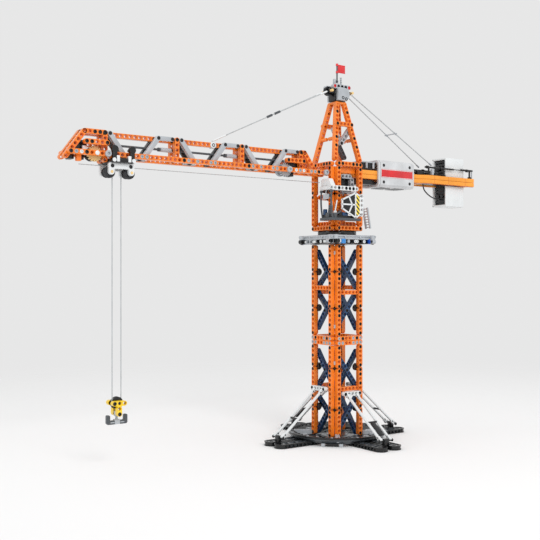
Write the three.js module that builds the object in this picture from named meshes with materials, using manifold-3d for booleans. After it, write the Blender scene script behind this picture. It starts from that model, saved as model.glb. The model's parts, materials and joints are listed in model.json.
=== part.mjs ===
// Tower crane from a brick-built construction toy, as a three.js scene graph.
// Units are millimetres, +Z is up, the origin is on the slewing axis at ground level.
// The jib points along -X, the counter-jib along +X.  Every beam sits on a grid of PITCH.
import * as THREE from 'three';
import { mergeVertices } from 'three/addons/utils/BufferGeometryUtils.js';
import Module from 'manifold-3d';

const wasm = await Module();
wasm.setup();

// ---- driving dimensions; lengths in grid modules unless the name ends in _MM ----
const PITCH_MM = 8;              // distance between neighbouring holes
const BEAM = 0.96;               // width and height of a beam
const HALF = BEAM / 2;
const HOLE_R = 0.33;             // corner radius of a drilled hole
const HOLE_SIDES = 4;            // sides of a drilled hole
const END_ARC = 2;               // arc divisions at a beam's round end
const ROUND = 8;                 // sides of small pins and shafts
const PIN_R = 0.28;

const POST_X = 3;                // post centre from the middle of a face
const FACE_Y = 4;                // face frame centre from the tower axis
const MAST_FOOT = 1.04;          // underside of the mast posts
const MAST_TOP = 43;             // top of the mast posts
const MAST_BARS = [1.5, 11.5, 21.5, 22.5, 32.5, 42.5];
const MAST_HOLE_STEP = 5;        // a few post holes are drilled, which keeps the mesh light
const TOWER_HOLE_STEP = 7; 
const CHORD_HOLE_STEP = 5;       // likewise along the jib
const BRACE_PLANE = 3;           // brace centre from the tower axis
const BRACE_RISE = 8;            // a brace climbs 8 while it crosses 6
const BRACE_FEET = [[1.5, 11.5], [24.5, 33.5]];  // lowest hole of each brace, pair by pair

const LEG_REACH = 18;            // tip of a base leg from the axis
const LEG_HALF = 3.36;           // half the width of a base leg
const RING_OUTER = 11;
const RING_INNER = 8.3;
const STRUT_TOP = [5, 10.5];     // radius and height of a strut's upper pin
const STRUT_FOOT = [16, 1.9];    // radius and height of its lower pin

const TURNTABLE_R = 4.3;
const TURNTABLE_SPLIT = 45;      // plane where the turning half sits on the fixed half
const TOWER_FOOT = 46.04;        // underside of the turning tower's frames
const TOWER_TOP = 60.98;
const TOWER_BARS = [46.5, 60.5];
const APEX = 74.1;               // top hole of the peak's legs

const CHORD_Z = 58.5;            // bottom chords of the jib
const CHORD_Y = 2;
const TRUSS_Y = 1;               // uprights and diagonals stand one module inside the chords
const TRUSS_H = 4;
const CHORD_TIP = -63;
const CHORD_HOLES = 61;
const UPRIGHTS = [-11, -26, -41, -56];
const TIP_AXLE = -58;
const ROOT_AXLE = -15;

const CJ_Z = 58.9;               // middle of the counter-jib's beams
const CJ_END = 40.4;
const CASE_X = [31.8, 38];       // counterweight case along the counter-jib
const CASE_Z = [52.9, 64.6];
const CASE_HALF = 2.15;

const TROLLEY_X = -53.1;
const SHEAVE_X = 2;              // sheave axle from the trolley's middle
const SHEAVE_Z = 55.3;
const SHEAVE_R = 1.1;
const ROPE_R = 0.07;
const ROPE_RUN_Z = SHEAVE_Z + SHEAVE_R + 0.12;
const HOOK_PULLEY_Z = 12.35;

// ---- looks ----
const LOOKS = {
  orange: { color: 0xf0701c, roughness: 0.35, metalness: 0 },
  amber: { color: 0xf8a23a, roughness: 0.35, metalness: 0 },
  black: { color: 0x15171a, roughness: 0.4, metalness: 0 },
  darkGrey: { color: 0x4c5358, roughness: 0.45, metalness: 0 },
  lightGrey: { color: 0xb9bec3, roughness: 0.4, metalness: 0 },
  white: { color: 0xf2f3f2, roughness: 0.35, metalness: 0 },
  blue: { color: 0x163457, roughness: 0.35, metalness: 0 },
  yellow: { color: 0xf4d21c, roughness: 0.35, metalness: 0 },
  red: { color: 0xd2232f, roughness: 0.4, metalness: 0 },
  tan: { color: 0xd8bf86, roughness: 0.45, metalness: 0 },
  rubber: { color: 0x1c1f22, roughness: 0.8, metalness: 0 },
  string: { color: 0xc9cccd, roughness: 0.9, metalness: 0 },
};

// ---- solid helpers ----
const vec = (x, y, z) => new THREE.Vector3(x, y, z);

function toSolid(geometry) {
  const bare = geometry.index ? geometry.toNonIndexed() : geometry.clone();
  bare.deleteAttribute('normal');
  bare.deleteAttribute('uv');
  const merged = mergeVertices(bare, 1e-4);
  return new wasm.Manifold(new wasm.Mesh({
    numProp: 3,
    vertProperties: new Float32Array(merged.attributes.position.array),
    triVerts: new Uint32Array(merged.index.array),
  }));
}

function toGeometry(solid) {
  const mesh = solid.getMesh();
  const geometry = new THREE.BufferGeometry();
  geometry.setAttribute('position', new THREE.BufferAttribute(new Float32Array(mesh.vertProperties), 3));
  geometry.setIndex(new THREE.BufferAttribute(new Uint32Array(mesh.triVerts), 1));
  geometry.computeVertexNormals();
  return geometry;
}

const join = (...parts) => toGeometry(parts.flat().map(toSolid).reduce((sum, next) => sum.add(next)));
const cut = (part, ...tools) => (
  toGeometry(tools.flat().map(toSolid).reduce((left, next) => left.subtract(next), toSolid(part))));

// Scales a geometry that was drawn in modules to millimetres.
function toMm(geometry) {
  geometry.scale(PITCH_MM, PITCH_MM, PITCH_MM);
  return geometry;
}

function block(x, y, z) {
  const geometry = new THREE.BoxGeometry(x[1] - x[0], y[1] - y[0], z[1] - z[0]);
  geometry.translate((x[0] + x[1]) / 2, (y[0] + y[1]) / 2, (z[0] + z[1]) / 2);
  return toMm(geometry);
}

// A round bar from one point to another.
function rod(from, to, radius, sides = ROUND) {
  const span = to.clone().sub(from);
  const geometry = new THREE.CylinderGeometry(radius, radius, span.length(), sides);
  const turn = new THREE.Quaternion().setFromUnitVectors(vec(0, 1, 0), span.clone().normalize());
  geometry.applyQuaternion(turn);
  const middle = from.clone().add(to).multiplyScalar(0.5);
  geometry.translate(middle.x, middle.y, middle.z);
  return toMm(geometry);
}

// A flat plate: `outline` is drawn in the plane of `run` and `bore` x `run`, and is thick along `bore`.
function plate(outline, thickness, origin, run, bore) {
  const settings = { depth: thickness, bevelEnabled: false, curveSegments: END_ARC };
  const geometry = new THREE.ExtrudeGeometry(outline, settings);
  geometry.translate(0, 0, -thickness / 2);
  const side = bore.clone().cross(run).normalize();
  const basis = new THREE.Matrix4().makeBasis(run.clone().normalize(), side, bore.clone().normalize());
  basis.setPosition(origin);
  geometry.applyMatrix4(basis);
  return toMm(geometry);
}

function polygon(points) {
  return new THREE.Shape(points.map(([x, y]) => new THREE.Vector2(x, y)));
}

function drilledHole(x, y) {
  const corners = [];
  for (let i = 0; i < HOLE_SIDES; i += 1) {
    const angle = -2 * Math.PI * i / HOLE_SIDES;
    corners.push(new THREE.Vector2(x + HOLE_R * Math.cos(angle), y + HOLE_R * Math.sin(angle)));
  }
  return new THREE.Path(corners);
}

function range(first, last, step = 1) {
  const values = [];
  for (let v = first; v <= last + 1e-6; v += step) values.push(v);
  return values;
}

// A beam with round ends: `count` holes in a row from `start` along `run`, drilled along `bore`.
function beam(count, start, run, bore, { step = 2, width = BEAM, thickness = BEAM } = {}) {
  const outline = new THREE.Shape();
  outline.absarc(count - 1, 0, width / 2, -Math.PI / 2, Math.PI / 2, false);
  outline.absarc(0, 0, width / 2, Math.PI / 2, 3 * Math.PI / 2, false);
  range(0, count - 1, step).forEach((i) => outline.holes.push(drilledHole(i, 0)));
  return plate(outline, thickness, start, run, bore);
}

// A revolved solid round the Z axis; `profile` is a closed loop of [radius, height].
function revolved(profile, sides) {
  const points = [...profile, profile[0]].map(([r, z]) => new THREE.Vector2(r, z));
  const geometry = new THREE.LatheGeometry(points, sides);
  geometry.rotateX(Math.PI / 2);
  return toMm(geometry);
}

// A toothed wheel on an axle along Y.
function gear(teeth, radius, y, { centre = vec(0, 0, 0) } = {}) {
  const outline = new THREE.Shape();
  const root = radius - 0.22;
  range(0, teeth - 1).forEach((i) => {
    const at = (turn, r) => [r * Math.cos(turn), r * Math.sin(turn)];
    const step = 2 * Math.PI / teeth;
    const corners = [at(step * (i - 0.28), root), at(step * (i - 0.12), radius),
      at(step * (i + 0.12), radius), at(step * (i + 0.28), root)];
    corners.forEach(([x, z], n) => (i + n === 0 ? outline.moveTo(x, z) : outline.lineTo(x, z)));
  });
  const middle = centre.clone().add(vec(0, (y[0] + y[1]) / 2, 0));
  return plate(outline, y[1] - y[0], middle, vec(1, 0, 0), vec(0, 1, 0));
}

// A rope of round section along a curve.
function rope(curve, radius, steps) {
  const section = new THREE.Shape();
  section.absarc(0, 0, radius, 0, 2 * Math.PI, false);
  const settings = { steps, extrudePath: curve, curveSegments: 4, bevelEnabled: false };
  return toMm(new THREE.ExtrudeGeometry(section, settings));
}

function paint(look) {
  return new THREE.MeshStandardMaterial(LOOKS[look]);
}

function add(group, name, look, geometry, turn = 0) {
  const mesh = new THREE.Mesh(geometry, paint(look));
  mesh.name = name;
  mesh.rotation.z = turn;
  group.add(mesh);
  return mesh;
}

const SIDES = ['front', 'right', 'back', 'left'];
const quarter = (k) => k * Math.PI / 2;

// Adds four copies of a piece drawn on the front (-Y) side, a quarter turn apart.
function addRound(group, stem, look, draw) {
  SIDES.forEach((side, k) => add(group, `${stem}_${side}`, look, draw(k), quarter(k)));
}

// ---- base ----
function baseLeg() {
  const slotHalf = 0.3;
  const tongue = LEG_HALF - slotHalf;
  const outline = new THREE.Shape();
  const tip = LEG_REACH - tongue / 2;
  outline.moveTo(LEG_HALF, 3.75);
  outline.lineTo(LEG_HALF, tip);
  outline.absarc(slotHalf + tongue / 2, tip, tongue / 2, 0, Math.PI, false);
  outline.lineTo(slotHalf, 14.2);
  outline.lineTo(-slotHalf, 14.2);
  outline.absarc(-slotHalf - tongue / 2, tip, tongue / 2, 0, Math.PI, false);
  outline.lineTo(-LEG_HALF, 3.75);
  const slots = [-1.9, 1.9].flatMap((x) => [6.4, 10.6].map((y) => (
    block([x - 0.45, x + 0.45], [-y - 1.5, -y + 1.5], [-0.1, 1.1]))));
  const slab = plate(outline, 0.94, vec(0, 0, 0.47), vec(-1, 0, 0), vec(0, 0, 1));
  const sideWindows = [-1, 1].flatMap((s) => range(5, 13, 2).map((y) => (
    block([s > 0 ? 3.0 : -3.4, s > 0 ? 3.4 : -3.0], [-y - 0.75, -y + 0.75], [0.2, 0.75]))));
  return cut(slab, slots, sideWindows);
}

function baseHub() {
  const reach = 3.66;
  const corner = 4.4;
  const core = block([-LEG_HALF, LEG_HALF], [-reach, reach], [0, 0.94]);
  const cross = block([-reach, reach], [-LEG_HALF, LEG_HALF], [0, 0.94]);
  const lugs = range(0, 3).map((k) => {
    const lug = rod(vec(3, 3, 0.5), vec(corner, corner, 0.5), 0.2, 8);
    lug.rotateZ(quarter(k));
    return lug;
  });
  return join(core, cross, lugs);
}

function baseRing() {
  const profile = [[RING_INNER, 1.0], [9.5, 1.0], [RING_OUTER - 0.15, 1.5], [RING_OUTER, 1.62],
    [RING_OUTER, 2.0], [10.3, 2.0], [10.2, 1.85], [9.2, 1.85], [9.1, 2.0], [RING_INNER, 2.0]];
  return revolved(profile, 32);
}

function outriggerStrut() {
  const [topR, topZ] = STRUT_TOP;
  const [footR, footZ] = STRUT_FOOT;
  const run = vec(0, -(footR - topR), footZ - topZ);
  const holes = Math.round(run.length());
  const bars = [-1.3, 1.3].map((x) => (
    beam(holes + 1, vec(x, -topR, topZ), run, vec(1, 0, 0), { step: 7, width: 0.7, thickness: 0.55 })));
  const bracket = beam(5, vec(-2, -topR - 0.02, topZ), vec(1, 0, 0), vec(0, 1, 0), { step: 4 });
  const crossPin = rod(vec(-1.75, -footR, footZ), vec(1.75, -footR, footZ), PIN_R);
  const foot = block([-0.7, 0.7], [-footR - 0.45, -footR + 0.45], [1.0, footZ + 0.3]);
  const step = run.clone().multiplyScalar(0.62).add(vec(0, -topR, topZ));
  const spacer = rod(vec(-1.4, step.y, step.z), vec(1.4, step.y, step.z), PIN_R);
  return join(bars, bracket, crossPin, foot, spacer);
}

// ---- lattice frames of the mast and of the turning tower ----
// One face of a square lattice: two posts and the bars between them, cut from one plate.
function faceFrame(foot, top, bars, holeStep) {
  const edge = POST_X + HALF;
  const inner = POST_X - HALF;
  const outline = polygon([[-edge, foot], [edge, foot], [edge, top], [-edge, top]]);
  const runs = [];
  bars.forEach((z, i) => {
    const next = bars[i + 1];
    if (next !== undefined && next - z > 1.5) runs.push([z + HALF, next - HALF]);
  });
  runs.forEach(([low, high]) => outline.holes.push(new THREE.Path([[-inner, low], [-inner, high],
    [inner, high], [inner, low]].map(([x, z]) => new THREE.Vector2(x, z)))));
  const rows = range(bars[0], bars[bars.length - 1], holeStep);
  rows.forEach((z) => [-POST_X, POST_X].forEach((x) => outline.holes.push(drilledHole(x, z))));
  bars.forEach((z) => outline.holes.push(drilledHole(0, z)));
  return plate(outline, BEAM, vec(0, -FACE_Y, 0), vec(1, 0, 0), vec(0, -1, 0));
}

// Two diagonal braces and the connector that holds their meeting ends.
function bracePair([low, high]) {
  const inPlane = vec(0, 1, 0);
  const climb = vec(2 * POST_X, 0, BRACE_RISE);
  const back = vec(-2 * POST_X, 0, BRACE_RISE);
  const y = -BRACE_PLANE;
  const lower = beam(11, vec(-POST_X, y, low), climb, inPlane, { step: 5 });
  const upper = beam(11, vec(POST_X, y, high), back, inPlane, { step: 5 });
  const seam = (low + BRACE_RISE + high) / 2;
  const connector = block([2.7, 3.3], [y + 0.3, y + 0.85], [seam - 1.2, seam + 1.2]);
  return join(lower, upper, connector);
}

function walkway() {
  const deck = [44.25, 44.6];
  const girder = [43.1, 44.0];
  const sides = range(0, 3).map((k) => {
    const long = block([-6.5, 6.5], [-5.6, -4.7], deck);
    const under = block([-6.1, 6.1], [-5.5, -4.62], girder);
    const ties = [-4, 0, 4].map((x) => block([x - 0.4, x + 0.4], [-5.3, -4.9], [43.9, 44.3]));
    const ends = [-2.1, 5.9].map((x) => block([x - 0.45, x + 0.45], [-6.1, -5.4], [43.15, 43.95]));
    const side = join(long, under, ties, ends);
    side.rotateZ(quarter(k));
    return side;
  });
  return join(sides);
}

function turntableHalf(low, high) {
  const mid = (low + high) / 2;
  const profile = [[1.6, low], [TURNTABLE_R, low], [TURNTABLE_R, mid], [TURNTABLE_R - 0.2, high],
    [1.6, high]];
  return revolved(profile, 32);
}

function buildBase() {
  const base = new THREE.Group();
  add(base, 'base_hub', 'darkGrey', baseHub());
  addRound(base, 'base_leg', 'black', baseLeg);
  add(base, 'base_ring', 'black', baseRing());
  addRound(base, 'outrigger_strut', 'white', outriggerStrut);
  return base;
}

function buildMast() {
  const mast = new THREE.Group();
  addRound(mast, 'mast_face', 'orange', () => faceFrame(MAST_FOOT, MAST_TOP, MAST_BARS, MAST_HOLE_STEP));
  addRound(mast, 'mast_brace_lower', 'blue', () => bracePair(BRACE_FEET[0]));
  addRound(mast, 'mast_brace_upper', 'blue', () => bracePair(BRACE_FEET[1]));
  add(mast, 'walkway', 'lightGrey', walkway());
  add(mast, 'turntable_fixed', 'black', turntableHalf(43.05, TURNTABLE_SPLIT - 0.02));
  return mast;
}

// ---- turning tower, cab and peak ----
function motorBox() {
  const body = block([-2.3, 2.3], [-2.4, 2.4], [54.4, 57.6]);
  const gearbox = rod(vec(-2.4, 0, 53.6), vec(2.4, 0, 53.6), 1.1);
  const neck = block([-0.8, 0.8], [-0.8, 0.8], [53.6, 54.6]);
  return join(body, gearbox, neck);
}

function cabShell() {
  const floor = polygon([[-6.4, -6], [2, -6], [2, -4.65], [-4.65, -4.65], [-4.65, -1.9], [-6.4, -1.9]]);
  const slab = plate(floor, 0.6, vec(0, 0, 48.3), vec(1, 0, 0), vec(0, 0, 1));
  const bar = (x, y) => {
    const bend = new THREE.QuadraticBezierCurve3(vec(x + 0.35, y, 48.4), vec(x - 0.2, y, 51.5),
      vec(x, y, 54.3));
    return rope(bend, 0.2, 6);
  };
  const seat = block([-5.9, -4.9], [-4.4, -3.4], [48.5, 49.6]);
  const seatBack = block([-5.2, -4.85], [-4.4, -3.4], [49.4, 51.2]);
  return join(slab, bar(-6.1, -5.7), bar(-6.1, -2.2), bar(-2.6, -5.7), seat, seatBack);
}

function cabRoof() {
  const front = beam(8, vec(-6, -5.2, 55), vec(1, 0, 0), vec(0, 1, 0));
  const side = block([-6.4, -5.6], [-5, -1.8], [54.6, 55.4]);
  const slope = polygon([[-5.6, 55.3], [-2, 55.3], [-2, 57], [-4.6, 57]]);
  const visor = plate(slope, 1.2, vec(-5.4, 0, 0), vec(0, 1, 0), vec(1, 0, 0));
  return join(front, side, visor);
}

function cabDoor() {
  const outer = polygon([[-3.4, 50.5], [0.6, 48.5], [1.9, 49.4], [1.9, 53.5], [0.6, 54.35], [-3.4, 52.6]]);
  const panes = [
    [[-3, 51.7], [-3, 52.35], [-1.3, 53.1], [-0.6, 51.7]],
    [[-0.2, 51.7], [-0.9, 53.25], [0.3, 53.8], [0.3, 51.7]],
    [[-3, 50.75], [-3, 51.35], [-0.6, 51.35], [-1.3, 49.9]],
    [[-0.9, 49.7], [-0.2, 51.35], [0.3, 51.35], [0.3, 49.1]],
  ];
  panes.forEach((loop) => outer.holes.push(new THREE.Path(loop.map(([x, z]) => new THREE.Vector2(x, z)))));
  const panel = plate(outer, 0.35, vec(0, -6.3, 0), vec(1, 0, 0), vec(0, -1, 0));
  const jamb = beam(5, vec(2.3, -5.75, 49.5), vec(0, 0, 1), vec(0, 1, 0), { step: 2 });
  return join(panel, jamb);
}

function accessLadder() {
  const rails = [-4.6, -3.2].map((y) => rod(vec(4.85, y, 51.2), vec(5.75, y, 46.6), 0.2, 8));
  const rungs = range(0, 4).map((i) => {
    const t = i / 4;
    const x = 4.85 + 0.9 * t;
    const z = 51.2 - 4.6 * t;
    return rod(vec(x, -4.7, z), vec(x, -3.1, z), 0.14, 8);
  });
  return join(rails, rungs);
}

function peakFrame() {
  const foot = 3.45;
  const head = 1.05;
  const low = 61.56;
  const spot = (sx, sy, t) => {
    const reach = foot + (head - foot) * t;
    return vec(sx * reach, sy * reach, low + (APEX - low) * t);
  };
  const corners = [[-1, -1], [1, -1], [1, 1], [-1, 1]];
  const legs = corners.map(([sx, sy]) => {
    const start = spot(sx, sy, 0);
    const run = spot(sx, sy, 1).sub(start);
    const bore = run.clone().cross(vec(1, 0, 0)).normalize();
    return beam(Math.round(run.length()) + 1, start, run, bore, { step: 4 });
  });
  const tieT = 0.63;
  const tieReach = spot(1, 1, tieT).x;
  const ties = [-1, 1].map((sy) => (
    beam(5, vec(-2, sy * (tieReach + 0.3), spot(1, 1, tieT).z), vec(1, 0, 0), vec(0, 1, 0), { step: 2 })));
  const spacerT = 0.37;
  const spacerReach = spot(1, 1, spacerT).x;
  const spacers = [-1, 1].map((sx) => rod(vec(sx * spacerReach, -spacerReach, spot(1, 1, spacerT).z),
    vec(sx * spacerReach, spacerReach, spot(1, 1, spacerT).z), 0.4));
  const cap = block([-1.5, 1.5], [-1.5, 1.5], [APEX - 0.2, APEX + 0.5]);
  return join(legs, ties, spacers, cap);
}

function peakHead() {
  const core = block([-1.6, 1.6], [-1.2, 1.2], [APEX + 0.6, 77.4]);
  const cheek = new THREE.Shape();
  cheek.moveTo(-1.2, 74.8);
  cheek.lineTo(1.4, 74.8);
  cheek.absarc(0.6, 76.2, 1.45, -0.5, Math.PI / 2, false);
  cheek.lineTo(-1.2, 77.65);
  const cheeks = [-1.6, 1.6].map((y) => plate(cheek, 0.9, vec(0, y, 0), vec(1, 0, 0), vec(0, -1, 0)));
  const bar = beam(5, vec(-2, 0, 77.8), vec(1, 0, 0), vec(0, 1, 0), { thickness: 3.4, step: 4 });
  const arms = [[-1.4, -3], [1.4, 3.4]].map(([x0, x1]) => (
    [-0.8, 0.8].map((y) => block([Math.min(x0, x1), Math.max(x0, x1)], [y - 0.25, y + 0.25], [76.4, 77.2]))));
  const axles = [-2.7, 3.1].map((x) => rod(vec(x, -1.9, 76.8), vec(x, 1.9, 76.8), 0.25));
  const pulley = rod(vec(-2.7, -0.4, 76.8), vec(-2.7, 0.4, 76.8), 1.0, 16);
  const antenna = rod(vec(1.1, 0, 78.2), vec(1.1, 0, 80.1), 0.22, 8);
  const clip = block([-0.5, 0.5], [-0.5, 0.5], [78.1, 78.9]);
  return join(core, cheeks, bar, arms.flat(), axles, pulley, antenna, clip);
}

function flag() {
  const pole = rod(vec(0, 0, 78.95), vec(0, 0, 83.3), 0.19, 8);
  const cloth = block([0, 2.3], [-0.09, 0.09], [81.25, 83.1]);
  return join(pole, cloth);
}

function backstay() {
  const top = (s) => vec(3.55, s * 0.8, 76.5);
  const low = (s) => vec(27.2, s * 2.1, 62.35);
  const lines = [-1, 1].map((s) => rod(top(s), low(s), 0.09, 6));
  const mid = (s) => top(s).lerp(low(s), 0.53);
  const spreader = rod(mid(-1).add(vec(0, -0.6, 0)), mid(1).add(vec(0, 0.6, 0)), 0.14, 6);
  return join(lines, spreader);
}

function forestay() {
  const top = (s) => vec(-3.35, s * 0.8, 76.6);
  const low = vec(-31.7, 1, 63.35);
  const knot = vec(-17.2, 0.5, 70.15);
  const lines = [-1, 1].map((s) => rod(top(s), knot, 0.09, 6));
  const rest = rod(knot, low, 0.09, 6);
  const turnbuckle = rod(top(1).lerp(knot, 0.92), knot.clone().lerp(low, 0.04), 0.3, 8);
  return join(lines, rest, turnbuckle);
}

// ---- counter-jib ----
function counterJib() {
  const side = (s, offset) => [[2.62, s * (2 + offset)], [22.6, s * (2 + offset)], [24.6, s * (3 + offset)],
    [CJ_END, s * (3 + offset)]];
  const outer = polygon([...side(-1, HALF), ...side(1, HALF).reverse()]);
  const window = [...side(-1, -HALF), ...side(1, -HALF).reverse()].map(([x, y]) => (
    new THREE.Vector2(Math.min(Math.max(x, 3.5), CJ_END - 1), y)));
  outer.holes.push(new THREE.Path(window));
  const frame = plate(outer, 2, vec(0, 0, CJ_Z), vec(1, 0, 0), vec(0, 0, 1));
  const seams = [-1, 1].map((s) => [block([22.4, CJ_END + 0.2], [s * 3.48 - 0.06, s * 3.48 + 0.06],
    [CJ_Z - 0.04, CJ_Z + 0.04])]).flat();
  const ties = [24.2, 29.6].map((x) => block([x, x + 0.9], [-2.8, 2.8], [CJ_Z - 0.45, CJ_Z + 0.45]));
  const posts = [25.5, 30.6, 39.2].flatMap((x) => [-1, 1].map((s) => (
    block([x - 0.25, x + 0.25], [s * 3 - 0.25, s * 3 + 0.25], [CJ_Z + 0.9, 61.7]))));
  const rails = [-1, 1].map((s) => block([25, 40.4], [s * 3 - 0.3, s * 3 + 0.3], [61.6, 62.1]));
  return cut(join(frame, ties, posts, rails), seams);
}

function signHousing() {
  const half = 3;
  const low = 56.3;
  const high = 62.3;
  const outer = polygon([[-half, low + 0.5], [-half + 0.5, low], [half - 0.5, low], [half, low + 0.5],
    [half, high - 0.5], [half - 0.5, high], [-half + 0.5, high], [-half, high - 0.5]]);
  const bore = [[-2.56, 57.2], [-2.56, 61.6], [2.56, 61.6], [2.56, 57.2]];
  outer.holes.push(new THREE.Path(bore.map(([y, z]) => new THREE.Vector2(y, z))));
  const shell = plate(outer, 11, vec(15.1, 0, 0), vec(0, 1, 0), vec(1, 0, 0));
  const banners = [-1, 1].map((s) => block([10.5, 20.1], [s * half - 0.08, s * half + 0.08], [58.4, 60.4]));
  const vents = [-2.2, 2.2].map((x) => block([15.1 + x - 1.6, 15.1 + x + 1.6], [-1.2, 1.2], [61.4, 62.6]));
  const holes = [-4.6, 4.6].flatMap((x) => [57.6, 61.3].map((z) => (
    rod(vec(15.1 + x, -4, z), vec(15.1 + x, 4, z), 0.3, 6))));
  return cut(join(shell, banners), vents, holes);
}

function counterweightCase() {
  const wall = 0.4;
  const body = block(CASE_X, [-CASE_HALF, CASE_HALF], CASE_Z);
  const hollow = block([CASE_X[0] - 0.1, CASE_X[1] - wall], [-CASE_HALF + wall, CASE_HALF - wall],
    [CASE_Z[0] + wall, CASE_Z[1] - wall]);
  return cut(body, hollow);
}

function batteryPack() {
  const x = [CASE_X[0] + 0.5, CASE_X[1] - 0.46];
  const body = block(x, [-1.7, 1.7], [CASE_Z[0] + 0.45, CASE_Z[1] - 0.45]);
  const ribs = [54.6, 56.4, 61.2, 63].map((z) => (
    block([x[0] - 0.35, x[0] + 0.1], [-1.4, 1.4], [z - 0.35, z + 0.35])));
  return join(body, ribs);
}

function packCable() {
  const route = new THREE.CatmullRomCurve3([vec(24.8, -1.6, 57.85), vec(25.4, -1.6, 56.4),
    vec(27.2, -1.5, 55.2), vec(29.4, -1.3, 54.6), vec(31.85, -1.1, 54.6)]);
  return rope(route, 0.16, 24);
}

function buildSuperstructure() {
  const top = new THREE.Group();
  add(top, 'turntable_turning', 'black', turntableHalf(TURNTABLE_SPLIT + 0.03, 45.98));
  addRound(top, 'tower_face', 'orange', () => faceFrame(TOWER_FOOT, TOWER_TOP, TOWER_BARS, TOWER_HOLE_STEP));
  add(top, 'motor_box', 'black', motorBox());
  add(top, 'cab_shell', 'darkGrey', cabShell());
  add(top, 'cab_roof', 'white', cabRoof());
  add(top, 'cab_door', 'white', cabDoor());
  add(top, 'access_ladder', 'lightGrey', accessLadder());
  add(top, 'peak_frame', 'orange', peakFrame());
  add(top, 'peak_head', 'lightGrey', peakHead());
  add(top, 'flag', 'red', flag());
  add(top, 'backstay', 'string', backstay());
  add(top, 'forestay', 'string', forestay());
  add(top, 'counter_jib', 'amber', counterJib());
  add(top, 'sign_housing', 'lightGrey', signHousing());
  add(top, 'counterweight_case', 'white', counterweightCase());
  add(top, 'battery_pack', 'black', batteryPack());
  add(top, 'pack_cable', 'black', packCable());
  return top;
}

// ---- jib: drawn with its bottom chords at height 0 ----
// Diagonals lean away from every upright, three modules across and four down.
function diagonals(y, options) {
  const bore = vec(0, 1, 0);
  const parts = [];
  UPRIGHTS.forEach((x, i) => {
    const isRoot = i === 0;
    const isTip = i === UPRIGHTS.length - 1;
    if (!isRoot) parts.push(beam(6, vec(x + 1, y, TRUSS_H), vec(3, 0, -4), bore, options));
    if (!isTip) parts.push(beam(6, vec(x - 4, y, TRUSS_H), vec(-3, 0, -4), bore, options));
  });
  return parts;
}

function diagonalFeet() {
  const last = UPRIGHTS.length - 1;
  return UPRIGHTS.flatMap((x, i) => [...(i === 0 ? [] : [x + 4]), ...(i === last ? [] : [x - 7])]);
}

function endFrames(y) {
  const bore = vec(0, 1, 0);
  const tip = beam(7, vec(-60, y, TRUSS_H), vec(-3, 0, -4), bore);
  const root = beam(6, vec(-10, y, TRUSS_H), vec(3, 0, -4), bore);
  return [tip, root];
}

function jibFront() {
  const y = -TRUSS_Y;
  const bore = vec(0, 1, 0);
  const along = vec(1, 0, 0);
  const chord = beam(CHORD_HOLES, vec(CHORD_TIP, -CHORD_Y, 0), along, bore, { step: CHORD_HOLE_STEP });
  const uprights = UPRIGHTS.map((x) => {
    const holes = x === UPRIGHTS[3] ? 7 : 5;
    return beam(holes, vec(x, y, TRUSS_H), vec(0, 0, -1), bore);
  });
  const links = UPRIGHTS.slice(0, 3).map((x) => beam(4, vec(x - 4, y, TRUSS_H), along, bore, { step: 3 }));
  const topBeams = [beam(5, vec(-60, y, TRUSS_H), along, bore), beam(2, vec(-11, y, TRUSS_H), along, bore)];
  const midBeams = [-60, -15].map((x) => beam(5, vec(x, -CHORD_Y, 2), along, bore));
  const pins = [...UPRIGHTS, ...diagonalFeet(), -7, -63].map((x) => (
    rod(vec(x, -2.3, 0), vec(x, -0.7, 0), PIN_R, 6)));
  const midPins = [-56, -11].map((x) => rod(vec(x, -2.3, 2), vec(x, -0.7, 2), PIN_R, 6));
  const bushes = [-56, ROOT_AXLE, -5.2].map((x) => rod(vec(x, -3.1, 0), vec(x, -2.2, 0), 0.6, 8));
  return join(chord, uprights, diagonals(y, { step: 9 }), links, topBeams, midBeams, endFrames(y), pins,
    midPins, bushes);
}

function jibRear() {
  const y = TRUSS_Y;
  const bore = vec(0, 1, 0);
  const along = vec(1, 0, 0);
  const chord = beam(CHORD_HOLES, vec(CHORD_TIP, CHORD_Y, 0), along, bore, { step: CHORD_HOLE_STEP });
  const top = beam(51, vec(-60, y, TRUSS_H), along, bore, { step: CHORD_HOLE_STEP });
  const uprights = UPRIGHTS.map((x) => {
    const holes = x === UPRIGHTS[3] ? 7 : 5;
    return beam(holes, vec(x, y, TRUSS_H), vec(0, 0, -1), bore);
  });
  const midBeams = [-60, -15].map((x) => beam(5, vec(x, CHORD_Y, 2), along, bore));
  const pins = [...UPRIGHTS, ...diagonalFeet(), -7, -63].map((x) => (
    rod(vec(x, 2.3, 0), vec(x, 0.7, 0), PIN_R, 6)));
  const midPins = [-56, -11].map((x) => rod(vec(x, 2.3, 2), vec(x, 0.7, 2), PIN_R, 6));
  const ties = [-22, -37, -48].map((x) => rod(vec(x, 1.0, 0), vec(x, -0.46, 0), 0.3, 8));
  return join(chord, top, uprights, diagonals(y, { step: 9 }), midBeams, endFrames(y), pins, midPins, ties);
}

function driveShaft() {
  const shaft = rod(vec(-56.4, 0, 2), vec(-14.6, 0, 2), 0.26, 8);
  const sleeves = UPRIGHTS.slice(1, 3).map((x) => rod(vec(x - 3, 0, 2), vec(x - 0.6, 0, 2), 0.44, 8));
  const pinions = [-56.4, -14.6].map((x) => rod(vec(x - 0.2, 0, 2), vec(x + 0.2, 0, 2), 0.44, 8));
  return join(shaft, sleeves, pinions);
}

// A gear and a rope pulley on one cross axle.
function pulleyShaft(x, gearTeeth, gearRadius) {
  const centre = vec(x, 0, 0);
  const wheel = gear(gearTeeth, gearRadius, [-1.35, -0.7], { centre });
  const axle = rod(vec(x, -1.45, 0), vec(x, 1.45, 0), 0.24, 8);
  const pulley = rod(vec(x, 0.3, 0), vec(x, 1.0, 0), 1.25, 16);
  return join(wheel, axle, pulley);
}

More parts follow.
